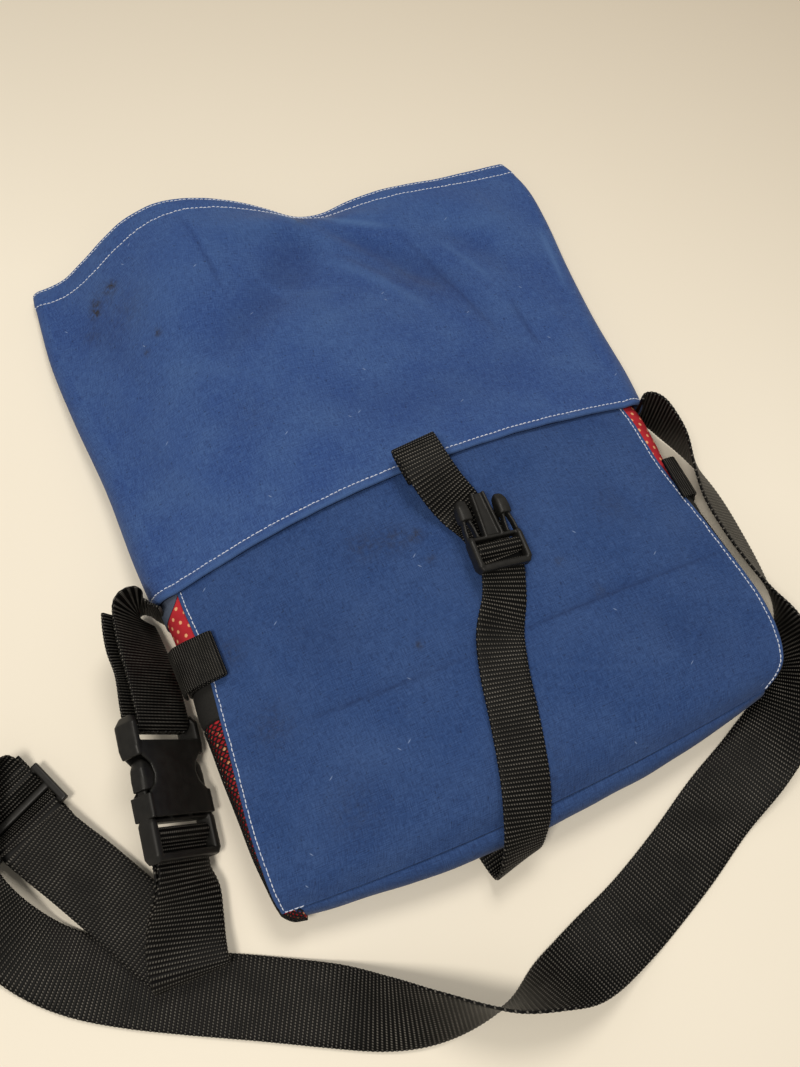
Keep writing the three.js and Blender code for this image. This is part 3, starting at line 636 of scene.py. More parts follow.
# %% Sections
SECTION = ("left", "left_along", "right", "right_along", "bow", "edge", "crown", "arch_along", "arch_lift",
           "bulge", "right_bulge")
BODY_SECTIONS = np.array([
    [-139.5, 1, 129, 2.5, -7, 24, 7, 0, 0, 1.5, 1],
    [-140.5, 12, 143, 13, -3.5, 30, 10, 0, 0, 2, 1],
    [-139.5, 42, 148, 42, 0, 33, 13, 0, 0, 4.5, 1],
    [-135, 86, 143, 86, 2, 34, 15, 0, 0, 10, 3],
    [-131, 132, 136, 132, 5, 34, 16, 0, 0, 13, 9],
    [-132, 163, 135, 163, 8, 33, 17, 0, 0, 13, 12],
    [-132, 180, 134, 180, 8, 30, 16, 0, 0, 12, 12],
])
ROLL_TOP_SECTIONS = np.array([
    [-134, 170, 136, 173, 8, 35.5, 17, 0, 0, 15, 15],
    [-136, 204, 139, 198, 6, 31, 16, 4, 2, 15, 15],
    [-139, 252, 143, 240, 4, 24, 13, 8, 6, 13, 13],
    [-145, 302, 149, 282, 3, 18, 10, 12, 12, 11, 11],
    [-150, 346, 157, 322, 2, 13, 7, 15, 18, 8, 8],
    [-150, 382, 160, 352, 1, 10, 6, 17, 22, 6, 6],
    [-149, 402, 155, 376, 0, 8, 5, 18, 24, 5, 5],
])
ARCH_SKEW, ARCH_SHARPNESS = 0.55, 5
CLOTH = 1.1


def section_at(table, v):
    """Named columns of a section table at places v from 0 to 1, each as one column of numbers."""
    rows = rows_at(table, np.clip(v, 0, 1) * (len(table) - 1))
    return {name: rows[:, k][:, None] for k, name in enumerate(SECTION)}


def mixed(a, b, t):
    """Straight mix of two values."""
    return a + (b - a) * t


def swell(u):
    """One in the middle and nothing at both edges: a parabola."""
    return 1 - (2 * u - 1) ** 2


def arch(u):
    """A bell that peaks over the left third."""
    return np.sin(np.pi * np.clip(u, 0, 1) ** ARCH_SKEW) ** ARCH_SHARPNESS


def stacked(x, y, z):
    """Three arrays as one grid of points."""
    return np.stack(np.broadcast_arrays(x, y, z), axis=-1).astype(float)


def front_wall(s, u):
    """The front wall: edges, bow, crown and arch of the sections, for u from left edge to right edge."""
    y = mixed(s["left_along"], s["right_along"], u) + s["bow"] * swell(u) + s["arch_along"] * arch(u)
    z = s["edge"] + s["crown"] * swell(u) + s["arch_lift"] * arch(u)
    return stacked(mixed(s["left"], s["right"], u), y, z)


def side_wall(s, side, t, upper, lower):
    """A side wall: half an ellipse from its upper edge, t = 0, to its lower one, t = 1."""
    names = ("left", "left_along", "bulge") if side < 0 else ("right", "right_along", "right_bulge")
    edge, along, bulge = (s[name] for name in names)
    z = mixed(upper, lower, (1 - np.cos(np.pi * t)) / 2)
    return stacked(edge + side * bulge * np.sin(np.pi * t), along, z)


def back_wall(s, u, height):
    """The back wall: flat, at the given height."""
    y = mixed(s["left_along"], s["right_along"], u)
    return stacked(mixed(s["left"], s["right"], u), y, height)


# %% [markdown]
# ## Folds, creases and ripples
# Canvas that has been rolled and unrolled keeps soft ridges, a few crisp creases and a gentle unevenness.
# Each fold is a line on the cloth with a bell across it: a power of two makes a soft ridge, a lower one a
# crisper crease. The ripples are a handful of long waves with seeded directions, so they're the same at
# every run.

# %% Fold helpers
def fold_heights(points, folds):
    """Height of the folds: a bell across each bowed line, that fades out towards both ends of the line.

    A row of folds gives both ends of its line, its bend, the width and height of its bell, and its power.
    """
    total = np.zeros(points.shape[:-1])
    for x0, y0, x1, y1, bend, width, height, power in folds:
        length = np.hypot(x1 - x0, y1 - y0)
        along = ((points[..., 0] - x0) * (x1 - x0) + (points[..., 1] - y0) * (y1 - y0)) / length ** 2
        aside = ((points[..., 1] - y0) * (x1 - x0) - (points[..., 0] - x0) * (y1 - y0)) / length
        aside = aside - bend * swell(along)
        fade = np.exp(-np.abs(2 * along - 1) ** 4)
        total += height * fade * np.exp(-np.abs(aside / width) ** power)
    return total


def ripples(points, seed, longest, height, waves=9):
    """A gentle unevenness: waves of seeded direction, length and phase, added up."""
    random = np.random.default_rng(seed)
    total = np.zeros(points.shape[:-1])
    for turn, share, phase in random.random((waves, 3)):
        length = longest * (0.35 + 0.65 * share)
        direction = points[..., 0] * np.cos(np.pi * turn) + points[..., 1] * np.sin(np.pi * turn)
        total += np.sin(2 * np.pi * (direction / length + phase)) * share
    return height * total / np.sqrt(waves)


def spots(points, table):
    """Soft round spots on the cloth: x, y, size and strength of each, added up."""
    total = np.zeros(points.shape[:-1])
    for x, y, size, strength in table:
        distance = np.hypot(points[..., 0] - x, points[..., 1] - y)
        total += strength * np.exp(-(distance / size) ** 2)
    return total


def near(distance, reach):
    """One at a line and fading to nothing over a reach: a bell."""
    return np.exp(-(distance / reach) ** 2)


# %% [markdown]
# ## Cotton canvas
# The blue cloth is a plain-woven cotton canvas, dyed, washed and a little worn: uneven dye, short dark and
# light slubs along both thread directions, lighter where it rubs, and a few brown stains. The weave itself is
# half a millimetre, too fine for the picture, so it is drawn at twice its pitch. Wear and stains are
# numbers on the mesh, broken up by noise in the shader. The wear numbers also carry a painted highlight on
# fold ridges and painted shade in fold valleys and dark creases, and the stain numbers darken the bottom
# strip low down, near the table.

# %% Canvas material
THREAD_PITCH = 1.0
CLOUD, HEATHER, BLOTCH = 34.0, 1.2, 3.2
SLUB = {"length": 5.0, "width": 0.5, "rise": 1.2}
STAIN_AND_DARKENING = "#2c2b2f"
# Lint and dark flecks: how far apart, how much longer than wide, turn, width and colour.
SPECKS = [
    [32.0, 5.0, 35.0, 0.34, "#8b9fc2"],
    [40.0, 4.0, -50.0, 0.36, "#8b9fc2"],
    [11.0, 2.5, 0.0, 0.42, "#1b2641"],
    [13.0, 2.5, 90.0, 0.42, "#1b2641"],
]


def canvas_material(name, dye, deep, faded_and_lit):
    """Washed cotton canvas: shades laid over its dye, each by a share that grows from low to high on a mask.

    The deep colour is for slubs and for painted shade in dark creases and fold valleys, the other one for
    worn places, pale threads and painted highlights on fold ridges.
    """
    material, tree = new_material(name)
    uv = add(tree, "ShaderNodeUVMap", uv_map="cloth").outputs[0]
    noises = []
    for size, detail, roughness in ((CLOUD, 3.0, 0.5), (HEATHER, 3.0, 0.7), (BLOTCH, 4.0, 0.7)):
        sockets = {"Vector": uv, "Scale": 1 / size, "Detail": detail, "Roughness": roughness}
        noises.append(add(tree, "ShaderNodeTexNoise", sockets).outputs["Fac"])
    cloud, heather, blotch = noises
    layers = [
        (cloud, 0.38, 0.7, 0.42, faded_and_lit),
        (heather, 0.48, 0.68, 0.35, deep),
        (heather, 0.46, 0.3, 0.3, faded_and_lit),
    ]

    heights = []
    for number, stretch in enumerate([(SLUB["length"], SLUB["width"]), (SLUB["width"], SLUB["length"])]):
        scale = (1 / stretch[0], 1 / stretch[1], 1)
        sockets = {"Vector": uv, "Scale": scale, "Location": (31 * number, 17, 0)}
        laid = add(tree, "ShaderNodeMapping", sockets)
        sockets = {"Vector": laid.outputs[0], "Scale": 1.0, "Detail": 2.0}
        slubs = add(tree, "ShaderNodeTexNoise", sockets).outputs["Fac"]
        layers += [(slubs, 0.5, 0.74, 0.5, deep), (slubs, 0.46, 0.26, 0.42, faded_and_lit)]
        heights.append(slubs)

    for apart, stretch, turn, wide, shade in SPECKS:
        sockets = {"Vector": uv, "Rotation": (0, 0, np.radians(turn)), "Scale": (apart * stretch, apart, 1)}
        laid = add(tree, "ShaderNodeMapping", sockets, vector_type="TEXTURE")
        sockets = {"Vector": laid.outputs[0], "Scale": 1.0}
        cells = add(tree, "ShaderNodeTexVoronoi", sockets, voronoi_dimensions="2D")
        layers.append((cells.outputs["Distance"], wide / apart, 0.3 * wide / apart, 0.6, shade))

    # Wear numbers: the cloth turns paler where they rise, which is real wear on rubbed edges and a painted
    # highlight on fold ridges, and turns towards the deep colour where they fall below nothing, which is
    # painted shade in fold valleys and dark creases.
    wear = add(tree, "ShaderNodeAttribute", attribute_name="wear").outputs["Fac"]
    rubbed_and_lit = add(tree, "ShaderNodeMath", {0: wear, 1: heather}, operation="MULTIPLY")
    # The stain numbers darken the cloth towards the stain colour, broken up by noise: real stains, and on the
    # bottom strip a darkening low down near the table.
    grime = add(tree, "ShaderNodeAttribute", attribute_name="grime").outputs["Fac"]
    broken = add(tree, "ShaderNodeMapRange", {0: blotch, 1: 0.36, 2: 0.6, 3: 0.0, 4: 1.0})
    stained_and_darkened = add(tree, "ShaderNodeMath", {0: grime, 1: broken.outputs[0]}, operation="MULTIPLY")
    layers += [
        (rubbed_and_lit.outputs[0], 0.0, 1.0, 1.0, faded_and_lit),
        (wear, 0.0, -0.6, 0.6, deep),
        (stained_and_darkened.outputs[0], 0.0, 1.0, 1.0, STAIN_AND_DARKENING),
    ]
    colour = linear(dye)
    for mask, low, high, most, shade in layers:
        share = add(tree, "ShaderNodeMapRange", {0: mask, 1: low, 2: high, 3: 0.0, 4: most})
        sockets = {MIX_FACTOR: share.outputs[0], MIX_A: colour, MIX_B: linear(shade)}
        colour = add(tree, "ShaderNodeMix", sockets, data_type="RGBA").outputs[MIX_RESULT]

    threads = []
    for axis in ("X", "Y"):
        sockets = {"Vector": uv, "Scale": np.pi / 10 / THREAD_PITCH, "Distortion": 0.8, "Detail": 1.0}
        threads.append(add(tree, "ShaderNodeTexWave", sockets, bands_direction=axis).outputs["Fac"])
    weave = add(tree, "ShaderNodeMath", {0: threads[0], 1: threads[1]}, operation="ADD")
    slub_height = add(tree, "ShaderNodeMath", {0: heights[0], 1: heights[1]}, operation="ADD")
    sockets = {0: slub_height.outputs[0], 1: SLUB["rise"], 2: weave.outputs[0]}
    height = add(tree, "ShaderNodeMath", sockets, operation="MULTIPLY_ADD")
    bump = add(tree, "ShaderNodeBump", {"Height": height.outputs[0], "Strength": 0.35, "Distance": 0.16 * MM})
    surface = {"Base Color": colour, "Normal": bump.outputs[0], "Roughness": 0.92, "Specular IOR Level": 0.2,
               "Sheen Weight": 0.08, "Sheen Roughness": 0.5}
    shader = add(tree, "ShaderNodeBsdfPrincipled", surface)
    add(tree, "ShaderNodeOutputMaterial", {"Surface": shader.outputs[0]})
    return material


upper_canvas = canvas_material("washed cotton canvas, upper", "#2f4b84", "#1d2e5b", "#4a6898")
lower_canvas = canvas_material("cotton canvas, lower", "#294476", "#19284d", "#405a8a")

# %% [markdown]
# ## The roll top
# The upper part is one tube of canvas: front wall, right fold, back wall and left fold. At its lower end the
# cloth turns under in a rounded lip that lies over the front panel. At the mouth it is hemmed with a band as
# wide as a finger. Lip and hem are rows of the same grid that turn inwards and run back inside, so no edge
# is cut.

# %% Roll top sizes
LIP = {"stitch": 4.4, "return": 7.0, "radius": 1.15, "puff": 0.55}
HEM = {"deep": 9.6, "outer_stitch": 1.8, "inner_stitch": 8.7, "radius": 1.0, "raise": 0.6, "soft": 0.35}
# Height and width of the bells across the edges: dimples along the stitches, and rubbed places.
DIMPLES = {"lip": (0.5, 0.9), "outer": (0.4, 0.7), "inner": (0.45, 0.8), "side": (0.4, 0.8)}
RUBS = {"lip": (0.9, 1.6), "mouth": (0.55, 1.5), "side": (0.5, 2.0)}
PUCKER_REACH = {"mouth": 13.0, "lip": 8.0, "side": 9.0}
# Limits of the painted highlight on fold ridges and the painted shade in fold valleys, taken from the fold
# heights.
FOLD_LIGHT_AND_SHADE = (-0.3, 0.4)
HEM_EXTRA = {"at": 0.13, "wide": 0.19, "more": 7.5}
FRONT_COLUMNS, SIDE_COLUMNS, BACK_COLUMNS = 210, 20, 36
TURN_ROWS, INSIDE_ROWS = 9, 4
EDGE_GAP = 0.5
ROW_STEP = {"edge": 0.7, "middle": 1.9, "edge_deep": 18.0}
CURL = {"at": 0.565, "wide": 0.085, "deep": 11.0, "drop": 10.0, "back": 3.0}

ROLL_TOP_FOLDS = [
    [22, 384, -60, 300, 12, 15, -4.5, 2],
    [34, 380, 85, 300, -10, 11, -4.0, 2],
    [2, 372, 60, 318, 6, 7, 3.4, 2],
    [-30, 378, 78, 358, 3, 9, 3.5, 2],
    [-6, 384, -100, 330, -14, 22, 3.4, 2],
    [60, 384, 150, 310, 10, 16, 3.4, 2],
    [92, 352, 128, 268, 6, 9, -2.4, 2],
    [38, 352, 96, 250, 10, 8, -2.0, 2],
    [22, 343, 54, 298, 3, 5, 1.8, 1.4],
    [-132, 360, -112, 270, 6, 10, -2.8, 2],
    [-120, 332, -96, 206, -6, 14, 2.8, 2],
    [-128, 236, -122, 186, 2, 5, 1.2, 1.4],
    [120, 300, 134, 222, 4, 9, 2.2, 2],
    [-40, 300, 40, 262, 12, 26, 2.6, 2],
    [-20, 240, 100, 222, -8, 20, -2.0, 2],
    [4, 386, 20, 364, 0, 3, 1.5, 1.3],
    [30, 370, 66, 341, -2, 3, 1.5, 1.3],
    [-52, 394, -46, 342, 1, 1.5, -1.0, 1.2],
    [77, 327, 93, 257, 2, 1.6, -0.5, 1.2],
    [109, 266, 112, 234, 0, 1.5, -0.5, 1.2],
]
# Crease lines painted into the colour of the roll top, not its shape: pale lines, partly worn threads and
# partly painted highlight, and dark lines of painted shade.
UPPER_CREASE_LIGHT_AND_SHADE = [
    [24, 382, 68, 352, -2, 1.8, 1.5, 1.5],
    [0, 394, 17, 369, 0, 3.0, 0.9, 2],
    [18, 342, 64, 278, 4, 3.0, 0.6, 2],
    [24, 344, 70, 282, 4, 3.0, -0.2, 2],
    [-24, 338, 20, 316, -8, 4.0, 0.4, 2],
    [70, 348, 92, 252, 2, 1.3, -0.4, 1.5],
    [92, 330, 108, 288, 1, 1.8, 0.8, 1.5],
    [111, 268, 111, 232, 0, 1.3, -0.5, 1.5],
    [-52, 394, -46, 342, 1, 1.6, -0.6, 1.5],
    [155, 312, 149, 270, 0, 1.8, 1.3, 1.5],
    [96, 352, 128, 330, -4, 5.0, 0.35, 2],
    [-100, 300, -40, 262, 6, 5.0, 0.25, 2],
]
UPPER_STAINS = [
    [-121, 364, 3.4, 1.1], [-120, 370, 3.0, 0.9], [-106, 374, 3.6, 1.0], [-114, 372, 8.0, 0.35],
    [-91, 326, 2.4, 1.0], [-101, 318, 1.8, 0.8], [-104, 352, 14.0, 0.25], [-128, 352, 6.0, 0.35],
    [16, 374, 7.0, 0.35], [-60, 250, 14.0, 0.12], [70, 300, 16.0, 0.12],
]


def turned_edge(radius, inside):
    """Rows of a turned edge, from deep inside to the outer face: distance from the edge, and offset in."""
    turn = np.linspace(-np.pi / 2, np.pi / 2, TURN_ROWS)
    back = np.linspace(inside, radius, INSIDE_ROWS + 1)[:-1]
    distance = np.concatenate([back, radius - radius * np.cos(turn)])
    offset = np.concatenate([np.full(len(back), -2 * radius), radius * np.sin(turn) - radius])
    return distance, offset


def bell(form, distance):
    """A bell of a given height and width, at distances from its middle."""
    height, width = form
    return height * near(distance, width)


# %% [markdown]
# The sections are not evenly far apart, so a table of the tube's true length finds the place of each row.
# Rows are close together near the two edges, where the stitches pull the cloth in, and wider in between. At
# one place the mouth curls down and away, so that its hem disappears behind a ridge.

# %% Roll top surface
fine_v = np.linspace(0, 1, 400)
fine_wall = front_wall(section_at(ROLL_TOP_SECTIONS, fine_v), np.linspace(0, 1, 9)[None])
fine_steps = np.linalg.norm(np.diff(fine_wall, axis=0), axis=-1).mean(axis=1)
fine_length = np.concatenate([[0], np.cumsum(fine_steps)])
ROLL_TOP_LENGTH = fine_length[-1]
print("roll top is", round(ROLL_TOP_LENGTH), "mm from lip to mouth")


def tube(v):
    """Rings of the roll top at places v: front wall, right fold, back wall and left fold."""
    s = section_at(ROLL_TOP_SECTIONS, v)
    u = np.linspace(0, 1, FRONT_COLUMNS)[None]
    t = np.linspace(0, 1, SIDE_COLUMNS + 2)[1:-1][None]
    b = np.linspace(1, 0, BACK_COLUMNS)[None]
    front = front_wall(s, u)
    loose = np.minimum(1, 3 * swell(u))
    to_mouth = (ROLL_TOP_LENGTH - np.interp(v, fine_v, fine_length))[:, None]
    curl = near(u - CURL["at"], CURL["wide"]) * near(to_mouth, CURL["deep"])
    folds = fold_heights(front, ROLL_TOP_FOLDS) + ripples(front, seed=3, longest=90, height=0.8)
    front[..., 2] += loose * folds - CURL["drop"] * curl
    front[..., 1] -= CURL["back"] * curl
    right = side_wall(s, 1, t, s["edge"], 0)
    left = side_wall(s, -1, t[:, ::-1], s["edge"], 0)
    return np.concatenate([front, right, back_wall(s, b, 0.0), left], axis=1)


def body_rows(first, last):
    """Distances of rows: close near both edges, wider in between."""
    low = np.arange(first, ROW_STEP["edge_deep"], ROW_STEP["edge"])
    high = last - (low - first)[::-1]
    count = int((high[0] - low[-1]) / ROW_STEP["middle"])
    return np.concatenate([low, np.linspace(low[-1], high[0], count + 2)[1:-1], high])


lip_distance, lip_offset = turned_edge(LIP["radius"], LIP["return"])
hem_distance, hem_offset = turned_edge(HEM["radius"], HEM["deep"])
body_distance = body_rows(LIP["radius"] + EDGE_GAP, ROLL_TOP_LENGTH - HEM["radius"] - EDGE_GAP)
BODY_ROWS = len(body_distance)
row_distance = np.concatenate([lip_distance, body_distance, ROLL_TOP_LENGTH - hem_distance[::-1]])
row_offset = np.concatenate([lip_offset, np.zeros(BODY_ROWS), hem_offset[::-1]])
row_v = np.interp(row_distance, fine_length, fine_v)
from_mouth = ROLL_TOP_LENGTH - row_distance

SMALL_STEP = 0.002
rings = tube(row_v)
ahead, behind = tube(np.minimum(row_v + SMALL_STEP, 1)), tube(np.maximum(row_v - SMALL_STEP, 0))
ring_across = np.roll(rings, -1, axis=1) - np.roll(rings, 1, axis=1)
ring_normal = unit(np.cross(ring_across, ahead - behind))
outside = (row_offset > -1).astype(float)

lip_puff = LIP["puff"] * np.sin(np.pi * np.clip(row_distance / LIP["stitch"], 0, 1))
lip_puff = lip_puff - bell(DIMPLES["lip"], row_distance - LIP["stitch"])


def hem_extra(columns):
    """How much deeper the hem is at each column: a bell over the arch, on around the left fold."""
    total = rings.shape[1]
    place = (columns + total / 2) % total - total / 2
    return HEM_EXTRA["more"] * near(place / FRONT_COLUMNS - HEM_EXTRA["at"], HEM_EXTRA["wide"])


in_hem = from_mouth[:, None] - hem_extra(np.arange(rings.shape[1]))
hem_edge = 1 / (1 + np.exp((in_hem - HEM["deep"]) / HEM["soft"]))
hem_form = HEM["raise"] * hem_edge - bell(DIMPLES["outer"], from_mouth - HEM["outer_stitch"])[:, None]
hem_form = hem_form - bell(DIMPLES["inner"], in_hem - HEM["inner_stitch"])
pucker_share = near(from_mouth, PUCKER_REACH["mouth"]) + near(row_distance, PUCKER_REACH["lip"])
pucker = ripples(rings, seed=11, longest=26, height=0.35) * pucker_share[:, None]
cloth_form = outside[:, None] * (lip_puff[:, None] + hem_form)
height_over = row_offset[:, None] + cloth_form + pucker
on_table = rings[..., 2] < 0.5
height_over = np.where(on_table, np.minimum(height_over, 0), height_over)
roll_top_points = rings + height_over[..., None] * ring_normal
roll_top_points[..., 2] = np.maximum(roll_top_points[..., 2], 0.0)

# Paler where the lip and mouth rub. Fold ridges get a painted highlight and fold valleys a painted shade, and
# the crease lines are painted pale and dark.
roll_top_wear = bell(RUBS["lip"], row_distance)[:, None] + bell(RUBS["mouth"], from_mouth)[:, None]
roll_top_wear = roll_top_wear + np.clip(fold_heights(rings, ROLL_TOP_FOLDS) * 0.08, *FOLD_LIGHT_AND_SHADE)
roll_top_wear = roll_top_wear + fold_heights(rings, UPPER_CREASE_LIGHT_AND_SHADE)
roll_top = grid_object("roll_top_canvas", roll_top_points, closed=True,
                       wear=roll_top_wear, grime=spots(rings, UPPER_STAINS))
thicken(roll_top, CLOTH)
finish_piece(roll_top, upper_canvas, "upper_canvas", "roll_top")

# %% [markdown]
# ## The lower front panel
# The front panel is a crowned sheet that passes under the lip. Its two side edges are turned under and
# stitched down on the gussets, and its lower edge runs into the bottom seam. Turned edges are made as on
# the roll top, here as columns of the grid.

# %% Front panel
PANEL_EDGE = {"radius": 0.9, "inside": 5.0, "stitch": 2.2, "overhang": 1.2, "puff": 0.45, "puff_wide": 5.5}
PANEL_GAP = 0.4
PANEL_CLOTH = 0.85
PANEL_ROWS, PANEL_COLUMNS = 190, 200
PANEL_WIDTH = 272.0

PANEL_FOLDS = [
    [-110, 80, 140, 77, -1, 3, -1.1, 1.3],
    [-60, 96, 40, 112, -6, 18, 2.0, 2],
    [-104, 126, -30, 84, 6, 16, -1.8, 2],
    [50, 140, 118, 84, 6, 20, 2.0, 2],
    [70, 60, 124, 24, 4, 14, -1.6, 2],
    [-126, 60, -112, 14, 2, 7, 1.4, 2],
    [-112, 150, -92, 104, 3, 9, 1.4, 2],
    [-20, 40, 20, 8, 2, 16, 1.4, 2],
    [96, 150, 110, 100, 2, 6, -1.0, 1.6],
    [-90, 62, -20, 24, -4, 12, 1.4, 2],
    [10, 66, 96, 46, 5, 12, 1.2, 2],
]
# Crease lines painted into the colour of the front panel, not its shape: pale lines, partly worn threads and
# partly painted highlight, and dark lines of painted shade.
LOWER_CREASE_LIGHT_AND_SHADE = [
    [-98, 80, -8, 75, -1, 0.9, -0.5, 1.5],
    [18, 76, 138, 75, 1, 0.9, -0.5, 1.5],
    [24, 57, 80, 34, -2, 1.2, 0.35, 1.5],
    [80, 34, 108, 43, -2, 1.2, 0.35, 1.5],
    [-116, 140, -100, 70, 4, 5.0, 0.3, 2],
]
LOWER_STAINS = [
    [-7, 144, 3.5, 0.9], [-18, 147, 7.0, 0.45], [-34, 150, 9.0, 0.35], [-5, 129, 2.4, 0.6],
    [-29, 90, 2.0, 0.9], [56, 102, 2.4, 0.6], [68, 80, 3.0, 0.5], [-112, 84, 12.0, 0.3],
    [-118, 128, 8.0, 0.35], [96, 120, 9.0, 0.2], [-90, 30, 16.0, 0.2], [0, 12, 20.0, 0.15],
    [40, 140, 14.0, 0.15],
]


def panel_columns():
    """Places across the panel from its left turned edge to its right one: distance, and offset inwards."""
    distance, offset = turned_edge(PANEL_EDGE["radius"], PANEL_EDGE["inside"])
    first = PANEL_EDGE["radius"] + PANEL_GAP
    last = PANEL_WIDTH - PANEL_EDGE["radius"] - PANEL_GAP
    middle = np.linspace(first, last, PANEL_COLUMNS)
    across = np.concatenate([distance, middle, PANEL_WIDTH - distance[::-1]])
    return across, np.concatenate([offset, np.zeros(PANEL_COLUMNS), offset[::-1]])


def panel_sheet(v, u):
    """The front wall of the lower body, widened by the overhang of its turned edges, with its folds."""
    s = section_at(BODY_SECTIONS, v)
    s["left"] = s["left"] - PANEL_EDGE["overhang"]
    s["right"] = s["right"] + PANEL_EDGE["overhang"]
    sheet = front_wall(s, u)
    loose = np.minimum(1, 4 * swell(u))
    folds = fold_heights(sheet, PANEL_FOLDS) + ripples(sheet, seed=5, longest=80, height=0.55)
    sheet[..., 2] += loose * folds
    return sheet


panel_across, panel_offset = panel_columns()
panel_u = (panel_across / PANEL_WIDTH)[None]
panel_v = np.linspace(0, 1, PANEL_ROWS)
panel = panel_sheet(panel_v, panel_u)
panel_right = panel_sheet(panel_v, np.minimum(panel_u + SMALL_STEP, 1))
panel_left = panel_sheet(panel_v, np.maximum(panel_u - SMALL_STEP, 0))
panel_normal = unit(np.cross(panel_right - panel_left, np.gradient(panel, axis=0)))
from_side = np.minimum(panel_across, PANEL_WIDTH - panel_across)
panel_outside = (panel_offset > -0.6).astype(float)
edge_form = PANEL_EDGE["puff"] * near(from_side, PANEL_EDGE["puff_wide"])
edge_form = edge_form - bell(DIMPLES["side"], from_side - PANEL_EDGE["stitch"])
edge_pucker = ripples(panel, seed=21, longest=24, height=0.3) * near(from_side, PUCKER_REACH["side"])[None]
panel_height = panel_offset + panel_outside * edge_form + edge_pucker
panel_points = panel + panel_height[..., None] * panel_normal
# Paler where the side edges rub. Fold ridges get a painted highlight and fold valleys a painted shade, and
# the crease lines are painted pale and dark.
panel_wear = bell(RUBS["side"], from_side)[None]
panel_wear = panel_wear + np.clip(fold_heights(panel, PANEL_FOLDS) * 0.1, *FOLD_LIGHT_AND_SHADE)
panel_wear = panel_wear + fold_heights(panel, LOWER_CREASE_LIGHT_AND_SHADE)
front_panel = grid_object("front_panel_canvas", panel_points,
                          wear=panel_wear, grime=spots(panel, LOWER_STAINS))
thicken(front_panel, PANEL_CLOTH)
finish_piece(front_panel, lower_canvas, "lower_canvas", "front_panel")

# %% [markdown]
# ## Bottom and back
# The bottom is a narrow strip that swells out between its two seams; it is made after the gussets, because
# it runs on round the right one. The back lies flat on the table, and steps up near its top, where the roll
# top's lower edge passes beneath it.

# %% Bottom form and back panel
BOTTOM_BULGE = {"corner": 3.0, "middle": 12.5}
STRIP = {"from": 0.02, "under": 1.4, "rows": 28, "columns": 160}
CLOTH_GAP = 1.8
BACK_STEP = {"start": 156.0, "end": 168.0, "rise": 2.2}
BACK_ROWS, BACK_PANEL_COLUMNS = 60, 90
BACK_STAINS = [[-60, 60, 40, 0.3], [70, 110, 30, 0.3]]


def back_rise(along):
    """Height of the back wall: nothing, then an even step near its top."""
    t = np.clip((along - BACK_STEP["start"]) / (BACK_STEP["end"] - BACK_STEP["start"]), 0, 1)
    return BACK_STEP["rise"] * t * t * (3 - 2 * t)


def bottom_bulge(u):
    """How far the bottom strip swells out at places u across it: little at its ends, most in its middle."""
    return mixed(BOTTOM_BULGE["corner"], BOTTOM_BULGE["middle"], swell(u))


def bottom_sheet():
    """The bottom strip: from the back's edge to the front's edge, swelling out most in its middle."""
    s = section_at(BODY_SECTIONS, np.zeros(1))
    u = np.linspace(STRIP["from"], 1, STRIP["columns"])[None]
    t = np.linspace(0, 1, STRIP["rows"])[:, None]
    top = front_wall(s, u)
    low = back_wall(s, u, CLOTH_GAP)
    y = mixed(low[..., 1], top[..., 1], t) - bottom_bulge(u) * np.sin(np.pi * t)
    z = mixed(low[..., 2], top[..., 2] - STRIP["under"], (1 - np.cos(np.pi * t)) / 2)
    sheet = stacked(top[..., 0], y, z)
    sheet[..., 1] += ripples(sheet, seed=31, longest=60, height=0.8) * np.sin(np.pi * t)
    return sheet


back_section = section_at(BODY_SECTIONS, np.linspace(0, 1, BACK_ROWS))
back = back_wall(back_section, np.linspace(1, 0, BACK_PANEL_COLUMNS)[None], 0.0)
back[..., 2] = back_rise(back[..., 1])
back_panel = grid_object("back_panel_canvas", back, wear=np.full(back.shape[:2], 0.15),
                         grime=spots(back, BACK_STAINS))
thicken(back_panel, PANEL_CLOTH)
finish_piece(back_panel, lower_canvas, "lower_canvas", "back_panel")

# %% [markdown]
# ## Dotted cotton gussets
# The sides are red printed cotton with small pale dots in a staggered lattice. A Voronoi texture with no
# randomness is such a lattice, so the distance to its nearest point, cut off at the dot's radius, draws the
# dots. A little randomness and noise keep them as uneven as a print is.

# %% Dotted cotton material
DOT_PITCH = 5.6
DOT_SIZE = 0.185
DOT_EDGE = 0.07


